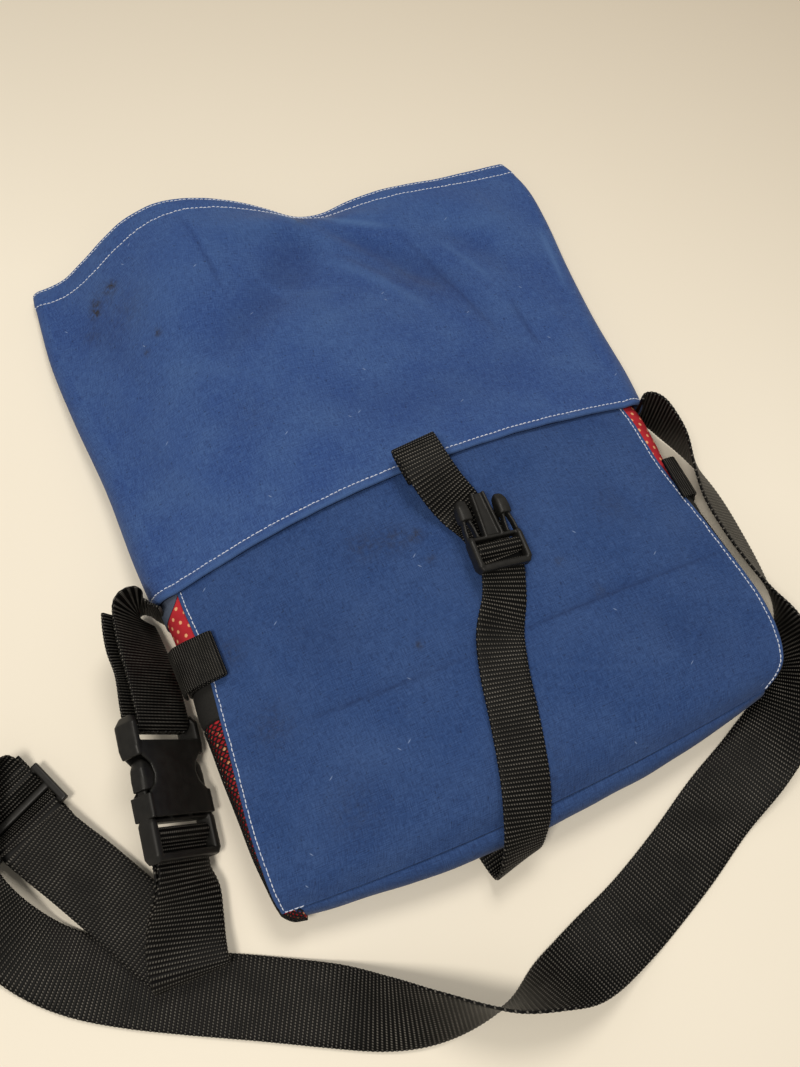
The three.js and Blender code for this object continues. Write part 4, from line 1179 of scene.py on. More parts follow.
def dotted_cotton():
    """Printed cotton: red ground, pale oval dots in a diagonal lattice, fine plain weave."""
    material, tree = new_material("printed cotton")
    uv = add(tree, "ShaderNodeUVMap", uv_map="cloth").outputs[0]
    lattice = add(tree, "ShaderNodeMapping", {"Vector": uv, "Rotation": (0, 0, np.radians(45)),
                                              "Scale": (1 / DOT_PITCH, 1 / DOT_PITCH, 1)})
    sockets = {"Vector": lattice.outputs[0], "Scale": 1.0, "Randomness": 0.12}
    cells = add(tree, "ShaderNodeTexVoronoi", sockets, voronoi_dimensions="2D")
    rag = add(tree, "ShaderNodeTexNoise", {"Vector": uv, "Scale": 1.2, "Detail": 2.0})
    ragged = add(tree, "ShaderNodeMath", {0: rag.outputs["Fac"], 1: 0.10, 2: cells.outputs["Distance"]},
                 operation="MULTIPLY_ADD")
    sockets = {0: ragged.outputs[0], 1: DOT_SIZE + DOT_EDGE, 2: DOT_SIZE, 3: 0.0, 4: 1.0}
    dot = add(tree, "ShaderNodeMapRange", sockets)
    fade = add(tree, "ShaderNodeTexNoise", {"Vector": uv, "Scale": 1 / 9, "Detail": 3.0})
    ground = add(tree, "ShaderNodeMix", {MIX_FACTOR: fade.outputs["Fac"], MIX_A: linear("#8e1721"),
                                         MIX_B: linear("#c5303a")}, data_type="RGBA")
    colour = add(tree, "ShaderNodeMix", {MIX_FACTOR: dot.outputs[0], MIX_A: ground.outputs[MIX_RESULT],
                                         MIX_B: linear("#e2a97c")}, data_type="RGBA")
    weave = add(tree, "ShaderNodeTexNoise", {"Vector": uv, "Scale": 1.6, "Detail": 2.0})
    sockets = {"Height": weave.outputs["Fac"], "Strength": 0.4, "Distance": 0.15 * MM}
    bump = add(tree, "ShaderNodeBump", sockets)
    surface = {"Base Color": colour.outputs[MIX_RESULT], "Normal": bump.outputs[0], "Roughness": 0.9,
               "Specular IOR Level": 0.25}
    shader = add(tree, "ShaderNodeBsdfPrincipled", surface)
    add(tree, "ShaderNodeOutputMaterial", {"Surface": shader.outputs[0]})
    return material


def plain_cotton(name, dark, light, grain):
    """Plain cotton or twill tape: two close shades in a noise of the given grain, with a fine bump."""
    material, tree = new_material(name)
    uv = add(tree, "ShaderNodeUVMap", uv_map="cloth").outputs[0]
    sockets = {"Vector": uv, "Scale": 1 / grain, "Detail": 4.0, "Roughness": 0.7}
    shade = add(tree, "ShaderNodeTexNoise", sockets)
    colour = add(tree, "ShaderNodeMix", {MIX_FACTOR: shade.outputs["Fac"], MIX_A: linear(dark),
                                         MIX_B: linear(light)}, data_type="RGBA")
    sockets = {"Height": shade.outputs["Fac"], "Strength": 0.5, "Distance": 0.2 * MM}
    bump = add(tree, "ShaderNodeBump", sockets)
    surface = {"Base Color": colour.outputs[MIX_RESULT], "Normal": bump.outputs[0], "Roughness": 0.9,
               "Specular IOR Level": 0.3}
    shader = add(tree, "ShaderNodeBsdfPrincipled", surface)
    add(tree, "ShaderNodeOutputMaterial", {"Surface": shader.outputs[0]})
    return material


dotted = dotted_cotton()
slate = plain_cotton("slate cotton", "#3a4150", "#566074", 1.6)
binding = plain_cotton("black binding tape", "#0c0c0d", "#2a2927", 1.1)
mesh_thread = plain_cotton("black mesh thread", "#08080a", "#1b1a1a", 1.0)

# %% Gusset surfaces
SIDES = {"left": -1, "right": 1}
GUSSET_ROWS, GUSSET_COLUMNS = 130, 40
GUSSET_UNDER = 1.2
CORNER = {"along": 0.08, "wrap": 9.0, "proud": 0.7}
GUSSET_FROM = {"left": -CORNER["along"], "right": 0.02}


def gusset_sheet(side, along, down):
    """A stretch of a gusset's outer face: rows along the body, columns down from the front wall, facing out.

    Rows below 0 turn the left corner: the swell to the side fades as a cosine, the one over the bottom strip
    grows as a sine, and the cloth runs on along the strip by the corner's wrap.
    """
    s = section_at(BODY_SECTIONS, along)
    t = down if side > 0 else down[:, ::-1]
    lower = back_rise(s["left_along"]) + CLOTH_GAP
    sheet = side_wall(s, side, t, s["edge"] - GUSSET_UNDER, lower)
    edge = s["left"] if side < 0 else s["right"]
    past = np.clip(-along / CORNER["along"], 0, 1)[:, None]
    turn = np.minimum(1, 2 * past) * np.pi / 2
    u = past * CORNER["wrap"] / (s["right"] - s["left"])
    bulge = (bottom_bulge(u) + CORNER["proud"]) * np.sin(np.pi * t) * np.sin(turn)
    swelling = (sheet[..., 0] - edge) * np.cos(turn)
    sheet[..., 0] = edge + swelling - side * past * CORNER["wrap"]
    sheet[..., 1] += s["bow"] * swell(u) * (past > 0) - bulge
    sheet[..., 0] += side * ripples(sheet, seed=41, longest=40, height=0.5) * np.sin(np.pi * t)
    return sheet


for label, side in SIDES.items():
    along = np.linspace(GUSSET_FROM[label], 1, GUSSET_ROWS)
    sheet = gusset_sheet(side, along, np.linspace(0, 1, GUSSET_COLUMNS)[None])
    gusset = grid_object(f"side_gusset_{label}_cotton", sheet)
    thicken(gusset, PANEL_CLOTH)
    finish_piece(gusset, dotted, "dotted_cotton", f"side_gusset_{label}")

# %% Bottom panel
STRIP_END = {"along": 0.1, "columns": 14, "off": 0.9}
end_along = np.linspace(0, STRIP_END["along"], STRIP_END["columns"] + 1)[1:]
strip_end = gusset_sheet(1, end_along, np.linspace(1, 0, STRIP["rows"])[None]).transpose(1, 0, 2)
bottom = np.concatenate([bottom_sheet(), strip_end], axis=1)
lift = np.clip(np.arange(bottom.shape[1]) - STRIP["columns"], 0, 1) * STRIP_END["off"]
bottom = bottom + lift[None, :, None] * grid_normals(bottom)
# The bottom strip is darkened low down, most at 4 mm over the table.
bottom_panel = grid_object("bottom_panel_canvas", bottom, wear=np.full(bottom.shape[:2], 0.1),
                           grime=0.25 * near(bottom[..., 2] - 4, 8))
thicken(bottom_panel, PANEL_CLOTH)
finish_piece(bottom_panel, lower_canvas, "lower_canvas", "bottom_panel")

# %% [markdown]
# ## Mesh pockets, binding and patch
# A pocket of black mesh covers the lower part of each gusset. The mesh is real geometry here, a little
# coarser than the real one: threads run in zigzags beside each other and meet a neighbour at every corner,
# which leaves rows of small openings. A folded tape binds its mouth. On the left, a slate patch with a
# slanting edge covers the top corner.

# %% Mesh pockets
POCKET_FROM = {-1: GUSSET_FROM["left"], 1: STRIP_END["along"]}
POCKET = {"to": 0.545, "down": (0.03, 0.9), "off": 1.0, "rows": 120, "columns": 60}
THREAD = {"pitch": 1.85, "wave": 3.5, "radius": 0.39, "steps": 10, "sides": 6}


def on_grid(grid, row, column):
    """Points of a grid between its rows and columns, by mixing the four nearest."""
    i = np.clip(row.astype(int), 0, grid.shape[0] - 2)
    j = np.clip(column.astype(int), 0, grid.shape[1] - 2)
    a, b = (row - i)[..., None], (column - j)[..., None]
    near_row = grid[i, j] * (1 - b) + grid[i, j + 1] * b
    return near_row * (1 - a) + (grid[i + 1, j] * (1 - b) + grid[i + 1, j + 1] * b) * a


def circles(aside, up, sides):
    """Circles around lines: a cosine of the direction aside of each line and a sine of the one up."""
    ring = np.linspace(0, 2 * np.pi, sides, endpoint=False)
    return np.cos(ring)[:, None] * aside[..., None, :] + np.sin(ring)[:, None] * up[..., None, :]


def net(side):
    """Zigzag threads on a gusset as thin tubes: each swings half a pitch, opposite to its neighbours."""
    rows, columns = POCKET["rows"], POCKET["columns"]
    along = np.linspace(POCKET_FROM[side], POCKET["to"], rows)
    base = gusset_sheet(side, along, np.linspace(*POCKET["down"], columns)[None])
    base = base + POCKET["off"] * grid_normals(base)
    lengths = cloth_lengths(base)
    along_middle = lengths[:, columns // 2, 1]
    wide = lengths[rows // 2, -1, 0] - lengths[rows // 2, 0, 0]
    threads = int(wide / THREAD["pitch"])
    samples = int(along_middle[-1] / THREAD["wave"] * THREAD["steps"])
    way = np.linspace(0, along_middle[-1], samples)
    phase = np.arange(threads) % 2 * np.pi
    swing = 0.5 * np.clip(1.6 * np.cos(2 * np.pi * way[:, None] / THREAD["wave"] + phase), -1, 1)
    column = (np.arange(threads)[None] + 0.5 + swing) / threads * (columns - 1)
    row = np.broadcast_to(np.interp(way, along_middle, np.arange(rows))[:, None], column.shape)
    middle = on_grid(base, row, column)
    up = on_grid(grid_normals(base), row, column)
    aside = np.cross(unit(np.gradient(middle, axis=0)), up)
    return middle[..., None, :] + THREAD["radius"] * circles(aside, up, THREAD["sides"])


def tubes_object(name, rings):
    """Many tubes in one mesh: rings of points along each thread, with closed ends."""
    samples, threads, sides = rings.shape[:3]
    points = rings.transpose(1, 0, 2, 3).reshape(-1, 3)
    one = quads(samples, sides, closed=True)
    starts = np.arange(threads)[:, None, None] * samples * sides
    faces = (one[None] + starts).reshape(-1, 4).tolist()
    first = [[t * samples * sides + k for k in range(sides)][::-1] for t in range(threads)]
    last = [[(t + 1) * samples * sides - sides + k for k in range(sides)] for t in range(threads)]
    corners = np.concatenate([np.asarray(faces).ravel(), np.asarray(first + last).ravel()])
    return mesh_object(name, points, faces + first + last, points[corners][:, 1:])


for label, side in SIDES.items():
    pocket = tubes_object(f"mesh_pocket_{label}_net", net(side))
    finish_piece(pocket, mesh_thread, "pocket_mesh", f"mesh_pocket_{label}")

# %% Binding and patch
BINDING = {"along": (0.545, 0.63), "down": (0.02, 0.92), "off": 0.4, "thick": 1.2, "cloth": 1.0}
BINDING_ROWS, BINDING_COLUMNS = 16, 40
PATCH = {"from": 0.80, "notch": 0.10, "slant": 0.17, "to": 0.97, "down": (0.0, 0.75), "off": 0.9}
PATCH_CLOTH = 0.7
PATCH_ROWS, PATCH_COLUMNS, WHOLE_ROWS = 24, 30, 200

for label, side in SIDES.items():
    along = np.linspace(*BINDING["along"], BINDING_ROWS)
    tape = gusset_sheet(side, along, np.linspace(*BINDING["down"], BINDING_COLUMNS)[None])
    roundness = np.sqrt(np.maximum(0, 1 - np.linspace(-1, 1, BINDING_ROWS) ** 4))[:, None]
    tape = tape + (BINDING["off"] + BINDING["thick"] * roundness)[..., None] * grid_normals(tape)
    tape_piece = grid_object(f"mesh_binding_{label}_tape", tape)
    thicken(tape_piece, BINDING["cloth"])
    finish_piece(tape_piece, binding, "pocket_mesh", f"mesh_binding_{label}")

down = np.linspace(*PATCH["down"], PATCH_COLUMNS)
whole = gusset_sheet(-1, np.linspace(0, 1, WHOLE_ROWS), down[None])
start = PATCH["from"] + PATCH["notch"] * np.exp(-down[::-1] / PATCH["slant"])
place = start[None] + np.linspace(0, 1, PATCH_ROWS)[:, None] * (PATCH["to"] - start[None])
patch_column = np.broadcast_to(np.arange(PATCH_COLUMNS, dtype=float), place.shape)
patch_points = on_grid(whole, place * (WHOLE_ROWS - 1), patch_column)
patch_points = patch_points + PATCH["off"] * grid_normals(patch_points)
patch_piece = grid_object("gusset_patch_left_cotton", patch_points)
thicken(patch_piece, PATCH_CLOTH)
finish_piece(patch_piece, slate, "slate_cotton", "gusset_patch_left")

# %% [markdown]
# ## White stitching
# Rows of white polyester thread show at the mouth, along the lip and beside the gussets. Each stitch is a
# small bead of a few dozen faces: it stands up in its middle and dives into the cloth at both ends. A row of
# them follows a line on a grid that is already there, so the stitches lie on the cloth wherever it bends.

# %% Thread material
def thread_material():
    """Polyester thread: off-white, slightly glossy, uneven where it has soiled."""
    material, tree = new_material("white polyester thread")
    place = add(tree, "ShaderNodeTexCoord").outputs["Object"]
    soil = add(tree, "ShaderNodeTexNoise", {"Vector": place, "Scale": 1 / (14 * MM), "Detail": 3.0})
    colour = add(tree, "ShaderNodeMix", {MIX_FACTOR: soil.outputs["Fac"], MIX_A: linear("#a9b9d6"),
                                         MIX_B: linear("#eef1f7")}, data_type="RGBA")
    surface = {"Base Color": colour.outputs[MIX_RESULT], "Roughness": 0.6}
    shader = add(tree, "ShaderNodeBsdfPrincipled", surface)
    add(tree, "ShaderNodeOutputMaterial", {"Surface": shader.outputs[0]})
    return material


thread = thread_material()

# %% Stitches
STITCH = {"pitch": 2.6, "length": 2.4, "radius": 0.29, "rings": 5, "sides": 6, "rise": 0.30, "dive": 0.45}
UNEVEN = {"along": 0.12, "aside": 0.10, "shortest": 0.9, "longest": 1.08}
ROUND_SAMPLES = 900
SIDE_ROW = {"from": 2, "stop_short": 14, "samples": 500}
CORNER_ROW = {"columns": 7, "samples": 30}


def stitch_row(line, normals, seed):
    """Beads along a line: short tubes that rise in the middle and sink at both ends, a little uneven."""
    random = np.random.default_rng(seed)
    length = np.concatenate([[0], np.cumsum(np.linalg.norm(np.diff(line, axis=0), axis=1))])
    centre = np.arange(STITCH["pitch"] / 2, length[-1], STITCH["pitch"])
    centre = centre + random.normal(0, UNEVEN["along"], len(centre))
    stretch = random.uniform(UNEVEN["shortest"], UNEVEN["longest"], (len(centre), 1))
    t = np.linspace(-1, 1, STITCH["rings"])
    way = centre[:, None] + t[None] * STITCH["length"] / 2 * stretch
    middle = np.stack([np.interp(way, length, line[:, k]) for k in range(3)], axis=-1)
    up = unit(np.stack([np.interp(way, length, normals[:, k]) for k in range(3)], axis=-1))
    aside = np.cross(unit(np.gradient(middle, axis=1)), up)
    middle = middle + (STITCH["rise"] - STITCH["dive"] * t[None] ** 2)[..., None] * up
    middle = middle + random.normal(0, UNEVEN["aside"], (len(centre), 1, 1)) * aside
    radius = STITCH["radius"] * np.sqrt(np.maximum(0.12, 1 - t ** 4))[None, :, None, None]
    rings = middle[..., None, :] + radius * circles(aside, up, STITCH["sides"])
    return rings.transpose(1, 0, 2, 3)


def grid_line(points, normals, row, column):
    """A line on a grid, given by rows and columns between its points, with the grid's normals."""
    row, column = np.broadcast_arrays(np.asarray(row, float), np.asarray(column, float))
    return on_grid(points, row, column), unit(on_grid(normals, row, column))


def around(points):
    """A closed grid with its first column repeated at the end, so that a line can run all the way round."""
    return np.concatenate([points, points[:, :1]], axis=1)


def row_of(distances, wanted):
    """Number of the row, between rows, whose distance from an edge is the wanted one."""
    return np.interp(wanted, distances, np.arange(len(distances)))


outer_rows = np.arange(len(lip_distance) - 1, len(lip_distance) + BODY_ROWS + 1)
tube_points = around(roll_top_points)[outer_rows]
tube_normals = around(grid_normals(roll_top_points, closed=True))[outer_rows]
outer_distance = row_distance[outer_rows]
round_columns = np.linspace(0, tube_points.shape[1] - 1.001, ROUND_SAMPLES)

roll_top_stitches = []
inner_distance = ROLL_TOP_LENGTH - HEM["inner_stitch"] - hem_extra(round_columns)
for number, wanted in enumerate([ROLL_TOP_LENGTH - HEM["outer_stitch"], inner_distance, LIP["stitch"]]):
    line, normals = grid_line(tube_points, tube_normals, row_of(outer_distance, wanted), round_columns)
    roll_top_stitches.append(stitch_row(line, normals, seed=50 + number))
beads = np.concatenate(roll_top_stitches, axis=1)
# Under the bag, the stitches are pressed up into the cloth.
beads[..., 2] += np.maximum(0, -beads[..., 2].min(axis=(0, 2)))[None, :, None]
roll_top_thread = tubes_object("roll_top_stitching", beads)
finish_piece(roll_top_thread, thread, None)

panel_normals = grid_normals(panel_points)
panel_rows = np.linspace(SIDE_ROW["from"], PANEL_ROWS - SIDE_ROW["stop_short"], SIDE_ROW["samples"])
panel_stitches = []
first = (len(panel_across) - PANEL_COLUMNS) // 2
inner = np.arange(first, first + PANEL_COLUMNS)
for number, wanted in enumerate([PANEL_EDGE["stitch"], PANEL_WIDTH - PANEL_EDGE["stitch"]]):
    column = first + np.interp(wanted, panel_across[inner], np.arange(PANEL_COLUMNS))
    rows, columns = panel_rows, np.full(len(panel_rows), column)
    if number == 0:
        # The left row turns the corner and ends a little way along the bottom seam.
        rows = np.concatenate([np.full(CORNER_ROW["samples"], rows[0]), rows])
        turned = np.linspace(column + CORNER_ROW["columns"], column, CORNER_ROW["samples"])
        columns = np.concatenate([turned, columns])
    line, normals = grid_line(panel_points, panel_normals, rows, columns)
    panel_stitches.append(stitch_row(line, normals, seed=70 + number))
panel_thread = tubes_object("front_panel_stitching", np.concatenate(panel_stitches, axis=1))
finish_piece(panel_thread, thread, None)

# %% [markdown]
# ## Moulded buckles
# Side-release buckles are moulded acetal: soft edges, fillets where walls meet, a dull gleam. A mould-like
# body comes from adding rounded bars together and letting a voxel remesh fuse them, with a few rounds of
# smoothing for the fillets. Each bar is a superellipse carried along a path in the buckle's own axes.

# %% Moulded plastic material
def moulded_plastic():
    """Moulded acetal: charcoal, fine grain from the mould, paler where it has been scuffed."""
    material, tree = new_material("moulded acetal")
    place = add(tree, "ShaderNodeTexCoord").outputs["Object"]
    sockets = {"Vector": place, "Scale": 1 / (6 * MM), "Detail": 5.0, "Roughness": 0.7}
    scuff = add(tree, "ShaderNodeTexNoise", sockets)
    colour = add(tree, "ShaderNodeMix", {MIX_FACTOR: scuff.outputs["Fac"], MIX_A: linear("#0b0b0b"),
                                         MIX_B: linear("#232220")}, data_type="RGBA")
    rough = add(tree, "ShaderNodeMapRange", {0: scuff.outputs["Fac"], 1: 0.3, 2: 0.7, 3: 0.36, 4: 0.52})
    grain = add(tree, "ShaderNodeTexNoise", {"Vector": place, "Scale": 1 / (0.5 * MM), "Detail": 2.0})
    sockets = {"Height": grain.outputs["Fac"], "Strength": 0.25, "Distance": 0.08 * MM}
    bump = add(tree, "ShaderNodeBump", sockets)
    surface = {"Base Color": colour.outputs[MIX_RESULT], "Roughness": rough.outputs[0],
               "Normal": bump.outputs[0], "Specular IOR Level": 0.3}
    shader = add(tree, "ShaderNodeBsdfPrincipled", surface)
    add(tree, "ShaderNodeOutputMaterial", {"Surface": shader.outputs[0]})
    return material


plastic = moulded_plastic()

# %% Rounded bars and the mould
BAR_POWER = 4
BAR_SIDES = 20


def rounded_bar(path, half_wide, half_high):
    """A closed bar: a superellipse section, half_wide aside and half_high over, carried along a path."""
    path = np.asarray(path, float)
    half_wide = np.broadcast_to(np.asarray(half_wide, float), len(path))
    half_high = np.broadcast_to(np.asarray(half_high, float), len(path))
    ahead = unit(np.gradient(path, axis=0))
    up = np.array([0.0, 0.0, 1.0])
    aside = unit(np.cross(ahead, up))
    over = np.cross(aside, ahead)
    turn = np.linspace(0, 2 * np.pi, BAR_SIDES, endpoint=False)
    wide = np.sign(np.cos(turn)) * np.abs(np.cos(turn)) ** (2 / BAR_POWER)
    high = np.sign(np.sin(turn)) * np.abs(np.sin(turn)) ** (2 / BAR_POWER)
    points = (path[:, None] + (half_wide[:, None] * wide)[..., None] * aside[:, None]
              + (half_high[:, None] * high)[..., None] * over[:, None])
    faces = quads(len(path), BAR_SIDES, closed=True).tolist()
    last = (len(path) - 1) * BAR_SIDES
    ends = [list(range(BAR_SIDES))[::-1], list(range(last, last + BAR_SIDES))]
    return points.reshape(-1, 3), faces + ends


def straight(start, end, count=2):
    """Points on a straight path."""
    return np.linspace(start, end, count)


def cross_bar(half, along, deep, high, over=0.0):
    """A straight bar across a buckle, from -half to half, at a place along it and over its middle plane."""
    return rounded_bar(straight([-half, along, over], [half, along, over]), deep, high)


VOXEL = 0.42
SMOOTHING = 5


def moulded(name, buckle, bars):
    """Fuses bars into one body at the buckle's place: join, voxel remesh, smooth, keep the finished mesh."""
    points, faces, count = [], [], 0
    for bar_points, bar_faces in bars:
        points.append(on_buckle(buckle, bar_points))
        faces += [[corner + count for corner in face] for face in bar_faces]
        count += len(bar_points)
    raw = mesh_object(name, np.concatenate(points), faces)
    remesh = raw.modifiers.new("fuse", "REMESH")
    remesh.mode = "VOXEL"
    remesh.voxel_size = VOXEL * MM
    remesh.use_smooth_shade = True
    smooth = raw.modifiers.new("fillets", "SMOOTH")
    smooth.iterations = SMOOTHING
    smooth.factor = 0.5
    fused = bpy.data.meshes.new_from_object(raw.evaluated_get(bpy.context.evaluated_depsgraph_get()))
    raw.modifiers.clear()
    raw.data = fused
    fused.shade_smooth()
    print(name, "fused into", len(fused.polygons), "faces")
    return raw


# %% [markdown]
# The plug has a frame with a bar for the strap in its middle, a low end bar, two springy prongs with arrow
# heads, and a ribbed guide tongue between them. The shoulder plug is the same thing one size up.

# %% Plugs
RAIL_SHARE = 0.115
# Along a side rail: half width and half height, as shares of the rail's width and the plug's thickness.
RAIL_FORM = np.array([[0.46, 0.42], [0.56, 0.5], [0.56, 0.5], [0.48, 0.4]])
# Along a prong's head: reach, half width and half height, as shares of the prong, the head and the thickness.
HEAD_FORM = np.array([
    [0.43, 1, 0.46],
    [0.6, 1, 0.48],
    [0.74, 0.94, 0.44],
    [0.84, 0.76, 0.34],
    [0.9, 0.45, 0.2],
])


def plug_bars(webbing_width, base, prong, thick):
    """Bars of a plug, along its axis from the end bar at -base to the tip of the tongue at +prong."""
    rail = RAIL_SHARE * webbing_width
    half = webbing_width / 2 + rail
    head = 0.145 * webbing_width
    thin = 0.032 * webbing_width
    bars = []
    for side in (-1, 1):
        x = side * (half - rail / 2)
        rail_path = [
            [x - side * 0.4, 0.8, 0],
            [x, -1.5, 0],
            [x, -base + 3, 0],
            [x - side * 1.2, -base + 0.6, 0],
        ]
        bars.append(rounded_bar(rail_path, rail * RAIL_FORM[:, 0], thick * RAIL_FORM[:, 1]))
        outer = side * (half - thin)
        inner = side * (half - 2.3 * rail)
        middle = side * (half - head - 0.2)
        for start in (outer, inner):
            arm = [[start, -0.5, 0], [mixed(start, middle, 0.15), 0.25 * prong, 0],
                   [mixed(start, middle, 0.6), 0.5 * prong, 0]]
            bars.append(rounded_bar(arm, thin, thick * 0.26))
        tip = middle - side * 0.5
        reach, head_wide, head_high = HEAD_FORM.T
        head_path = stacked([middle, middle, middle, tip, tip], prong * reach, 0.0)
        bars.append(rounded_bar(head_path, head * head_wide, thick * head_high))
        wide, narrow = side * 0.19 * webbing_width, side * 0.13 * webbing_width
        edge = straight([wide, -1, 0.1 * thick], [narrow, prong, 0.08 * thick], 6)
        bars.append(rounded_bar(edge, 0.036 * webbing_width, 0.28 * thick))
    tongue = webbing_width * np.linspace(0.2, 0.14, 6)
    bars.append(rounded_bar(straight([0, -1, 0], [0, prong, 0], 6), tongue, 0.14 * thick))
    for along, deep, high in ((-0.4, 1.0, 0.36 * thick), (BAR_SHARE * base, PLUG_BAR, PLUG_BAR)):
        bars.append(cross_bar(half - 1, along, deep, high))
    end = -base + 0.1 * base
    bars.append(cross_bar(half - 1.5, end, 0.1 * base, thick * 0.28, over=0.16 * thick))
    return bars


shoulder_bars = plug_bars(SHOULDER_WIDTH, SHOULDER_PLUG_BASE, prong=34, thick=10)
shoulder_plug = moulded("shoulder_plug_moulding", SHOULDER_BUCKLE, shoulder_bars)
finish_piece(shoulder_plug, plastic, "buckle_plastic", "shoulder_plug")
centre_bars = plug_bars(CENTRE_WIDTH, CENTRE_PLUG_BASE, prong=25, thick=8)
centre_plug = moulded("centre_plug_moulding", CENTRE_BUCKLE, centre_bars)
finish_piece(centre_plug, plastic, "buckle_plastic", "centre_plug")

# %% [markdown]
# The socket is a flat box, open towards the plug. Its two faces narrow to a waist, which leaves a window at
# each side for the prongs. At its other end a slot and a bar take the anchor strap, and a comb of small
# ridges grips it.

# %% Socket
SOCKET_THICK, SOCKET_WALL = 13.0, 2.4
COMB = {"count": 10, "reach": 15.5, "gap": 2.6, "before": 2.6, "after": 3.0, "over": 1.6}
RIDGE = {"half_wide": 0.55, "half_high": 1.2}
# Outline of a face: place along the socket, and how much wider it is there than the socket's half width.
SOCKET_PROFILE = np.array([
    [0.6, -1.2], [4, -0.6], [11, -0.8], [14, -3], [17, -6.5],
    [22, -8], [27, -6.5], [31, -2], [34, 0.6], [38.5, 0.8],
])


def socket_bars():
    """Bars of the socket: waisted faces, side walls, rails of the slot, cross wall, strap bar and comb."""
    half = SHOULDER_WIDTH / 2 + RAIL_SHARE * SHOULDER_WIDTH
    face_z = (SOCKET_THICK - SOCKET_WALL) / 2
    along, wider = SOCKET_PROFILE.T
    bars = []
    for up in (-1, 1):
        bars.append(rounded_bar(stacked(0.0, along, up * face_z), half + wider, SOCKET_WALL / 2))
    for side in (-1, 1):
        x = side * (half - 1.6)
        bars.append(rounded_bar(straight([x, 0.6, 0], [x, 12.5, 0]), 1.4, SOCKET_THICK / 2))
        rail = [
            [side * (half - 1), 31.5, 0],
            [side * (half - 0.6), 36, 0],
            [side * (half - 0.6), SOCKET_LENGTH - 4, 0],
            [side * (half - 2.4), SOCKET_LENGTH - 0.4, 0],
        ]
        rail_high = [SOCKET_THICK * 0.46, SOCKET_THICK / 2, SOCKET_THICK / 2, 4.4]
        bars.append(rounded_bar(rail, [1.7, 2.3, 2.3, 1.9], rail_high))
    bars.append(cross_bar(half - 1, 37.6, 1.6, SOCKET_THICK / 2 - 0.3))
    bars.append(cross_bar(half - 1, socket_bar_along, 3.0, SOCKET_BAR["half_height"]))
    return bars + comb_bars()


def comb_bars():
    """Two groups of short ridges across the strap bar."""
    places = np.linspace(-COMB["reach"], COMB["reach"], COMB["count"])
    places = places + np.sign(places) * COMB["gap"] / 2
    low, high = SOCKET_BAR["start"] - COMB["before"], SOCKET_BAR["start"] + COMB["after"]
    paths = [straight([x, low, COMB["over"]], [x, high, COMB["over"]]) for x in places]
    return [rounded_bar(path, RIDGE["half_wide"], RIDGE["half_high"]) for path in paths]


shoulder_socket = moulded("shoulder_socket_moulding", SHOULDER_BUCKLE, socket_bars())
finish_piece(shoulder_socket, plastic, "buckle_plastic", "shoulder_socket")

# %% [markdown]
# The slider is a flat frame with three cross bars. The strap goes over the first, under the second and over
# the third.

# %% Slider
def slider_bars():
    """Bars of the slider: a flat frame with two side rails and three cross bars."""
    half = SHOULDER_WIDTH / 2 + 0.6 + SLIDER_RAIL / 2
    end = SLIDER_LENGTH / 2
    bars = []
    for side in (-1, 1):
        rail = straight([side * half, -end, 0], [side * half, end, 0])
        bars.append(rounded_bar(rail, SLIDER_RAIL / 2, SLIDER_THICK / 2 + 0.4))
    for along in (-BAR_STEP, 0.0, BAR_STEP):
        bars.append(cross_bar(half, along, HALF_BAR, SLIDER_THICK / 2))
    return bars


strap_slider = moulded("strap_slider_moulding", SLIDER_PLACE, slider_bars())
finish_piece(strap_slider, plastic, "buckle_plastic", "strap_slider")

# %% [markdown]


# %% [markdown]
# ## Table and light
# The bag lies on a cream table top under soft room light. One lamp stands at the far right and gives the
# faint shadows to the left. Another, from the viewer's side, lights the table under the leaning strap, and a
# pale surrounding light fills the rest.

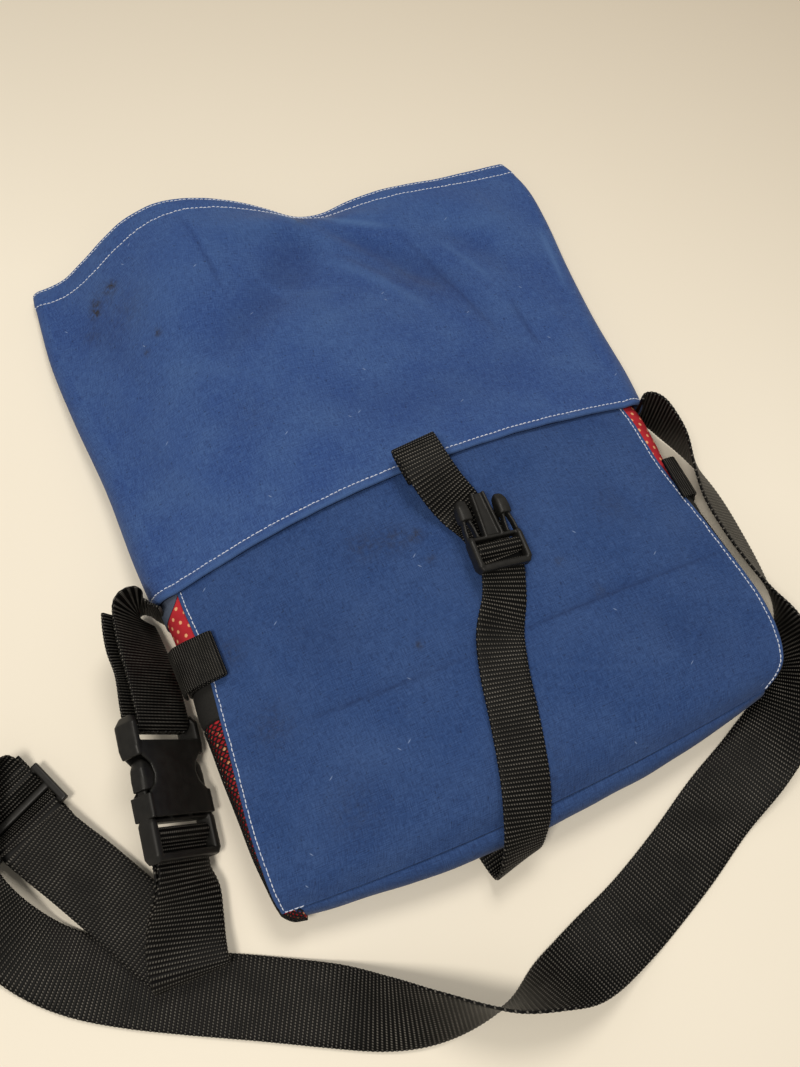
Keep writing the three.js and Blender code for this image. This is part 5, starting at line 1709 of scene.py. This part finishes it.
# %% Table
def table_top():
    """Matt cream paint, barely uneven, with a painted shade that greys it towards the far side."""
    material, tree = new_material("cream table with painted shade")
    place = add(tree, "ShaderNodeTexCoord").outputs["Object"]
    cloud = add(tree, "ShaderNodeTexNoise", {"Vector": place, "Scale": 3.0, "Detail": 2.0})
    near_colour = add(tree, "ShaderNodeMix", {MIX_FACTOR: cloud.outputs["Fac"], MIX_A: linear("#ece4d4"),
                                              MIX_B: linear("#efe8da")}, data_type="RGBA")
    # Painted shade: the table greys towards the far side, where the room light falls off.
    axes = add(tree, "ShaderNodeSeparateXYZ", {0: place})
    sockets = {0: axes.outputs[0], 1: 0.9, 2: axes.outputs[1]}
    away = add(tree, "ShaderNodeMath", sockets, operation="MULTIPLY_ADD")
    far = add(tree, "ShaderNodeMapRange", {0: away.outputs[0], 1: 0.08, 2: 0.8, 3: 0.0, 4: 1.0})
    colour = add(tree, "ShaderNodeMix", {MIX_FACTOR: far.outputs[0], MIX_A: near_colour.outputs[MIX_RESULT],
                                         MIX_B: linear("#b9ad9a")}, data_type="RGBA")
    surface = {"Base Color": colour.outputs[MIX_RESULT], "Roughness": 0.6}
    shader = add(tree, "ShaderNodeBsdfPrincipled", surface)
    add(tree, "ShaderNodeOutputMaterial", {"Surface": shader.outputs[0]})
    return material


FLOOR_HALF = 3.0
FLOOR_BELOW = 0.3 * MM
FLOOR_CORNERS = ((-1, -1), (1, -1), (1, 1), (-1, 1))
floor_mesh = bpy.data.meshes.new("table_top")
floor_points = [(x * FLOOR_HALF, y * FLOOR_HALF, -FLOOR_BELOW) for x, y in FLOOR_CORNERS]
floor_mesh.from_pydata(floor_points, [], [(0, 1, 2, 3)])
floor = bpy.data.objects.new("table_top", floor_mesh)
floor_mesh.materials.append(table_top())
bpy.context.collection.objects.link(floor)

# %% Lights
LAMPS = {
    "window_lamp": {"place": (0.42, 0.5, 1.5), "size": 0.6, "power": 10.6, "colour": "#fff9ef"},
    "room_lamp": {"place": (-0.5, -0.4, 1.5), "size": 0.4, "power": 12.0, "colour": "#fff8ec"},
}
for name, lamp in LAMPS.items():
    lamp_data = bpy.data.lights.new(name, "AREA")
    lamp_data.shape = "DISK"
    lamp_data.size = lamp["size"]
    lamp_data.energy = lamp["power"]
    lamp_data.color = linear(lamp["colour"])[:3]
    lamp_object = bpy.data.objects.new(name, lamp_data)
    lamp_object.location = lamp["place"]
    lamp_object.rotation_euler = Vector(lamp["place"]).to_track_quat("Z", "Y").to_euler()
    bpy.context.collection.objects.link(lamp_object)
    print(name, "of", lamp["power"], "watts")

world = bpy.data.worlds.new("room")
world.use_nodes = True
background = world.node_tree.nodes["Background"]
background.inputs["Color"].default_value = linear("#fdf8ef")
background.inputs["Strength"].default_value = 0.34
bpy.context.scene.world = world
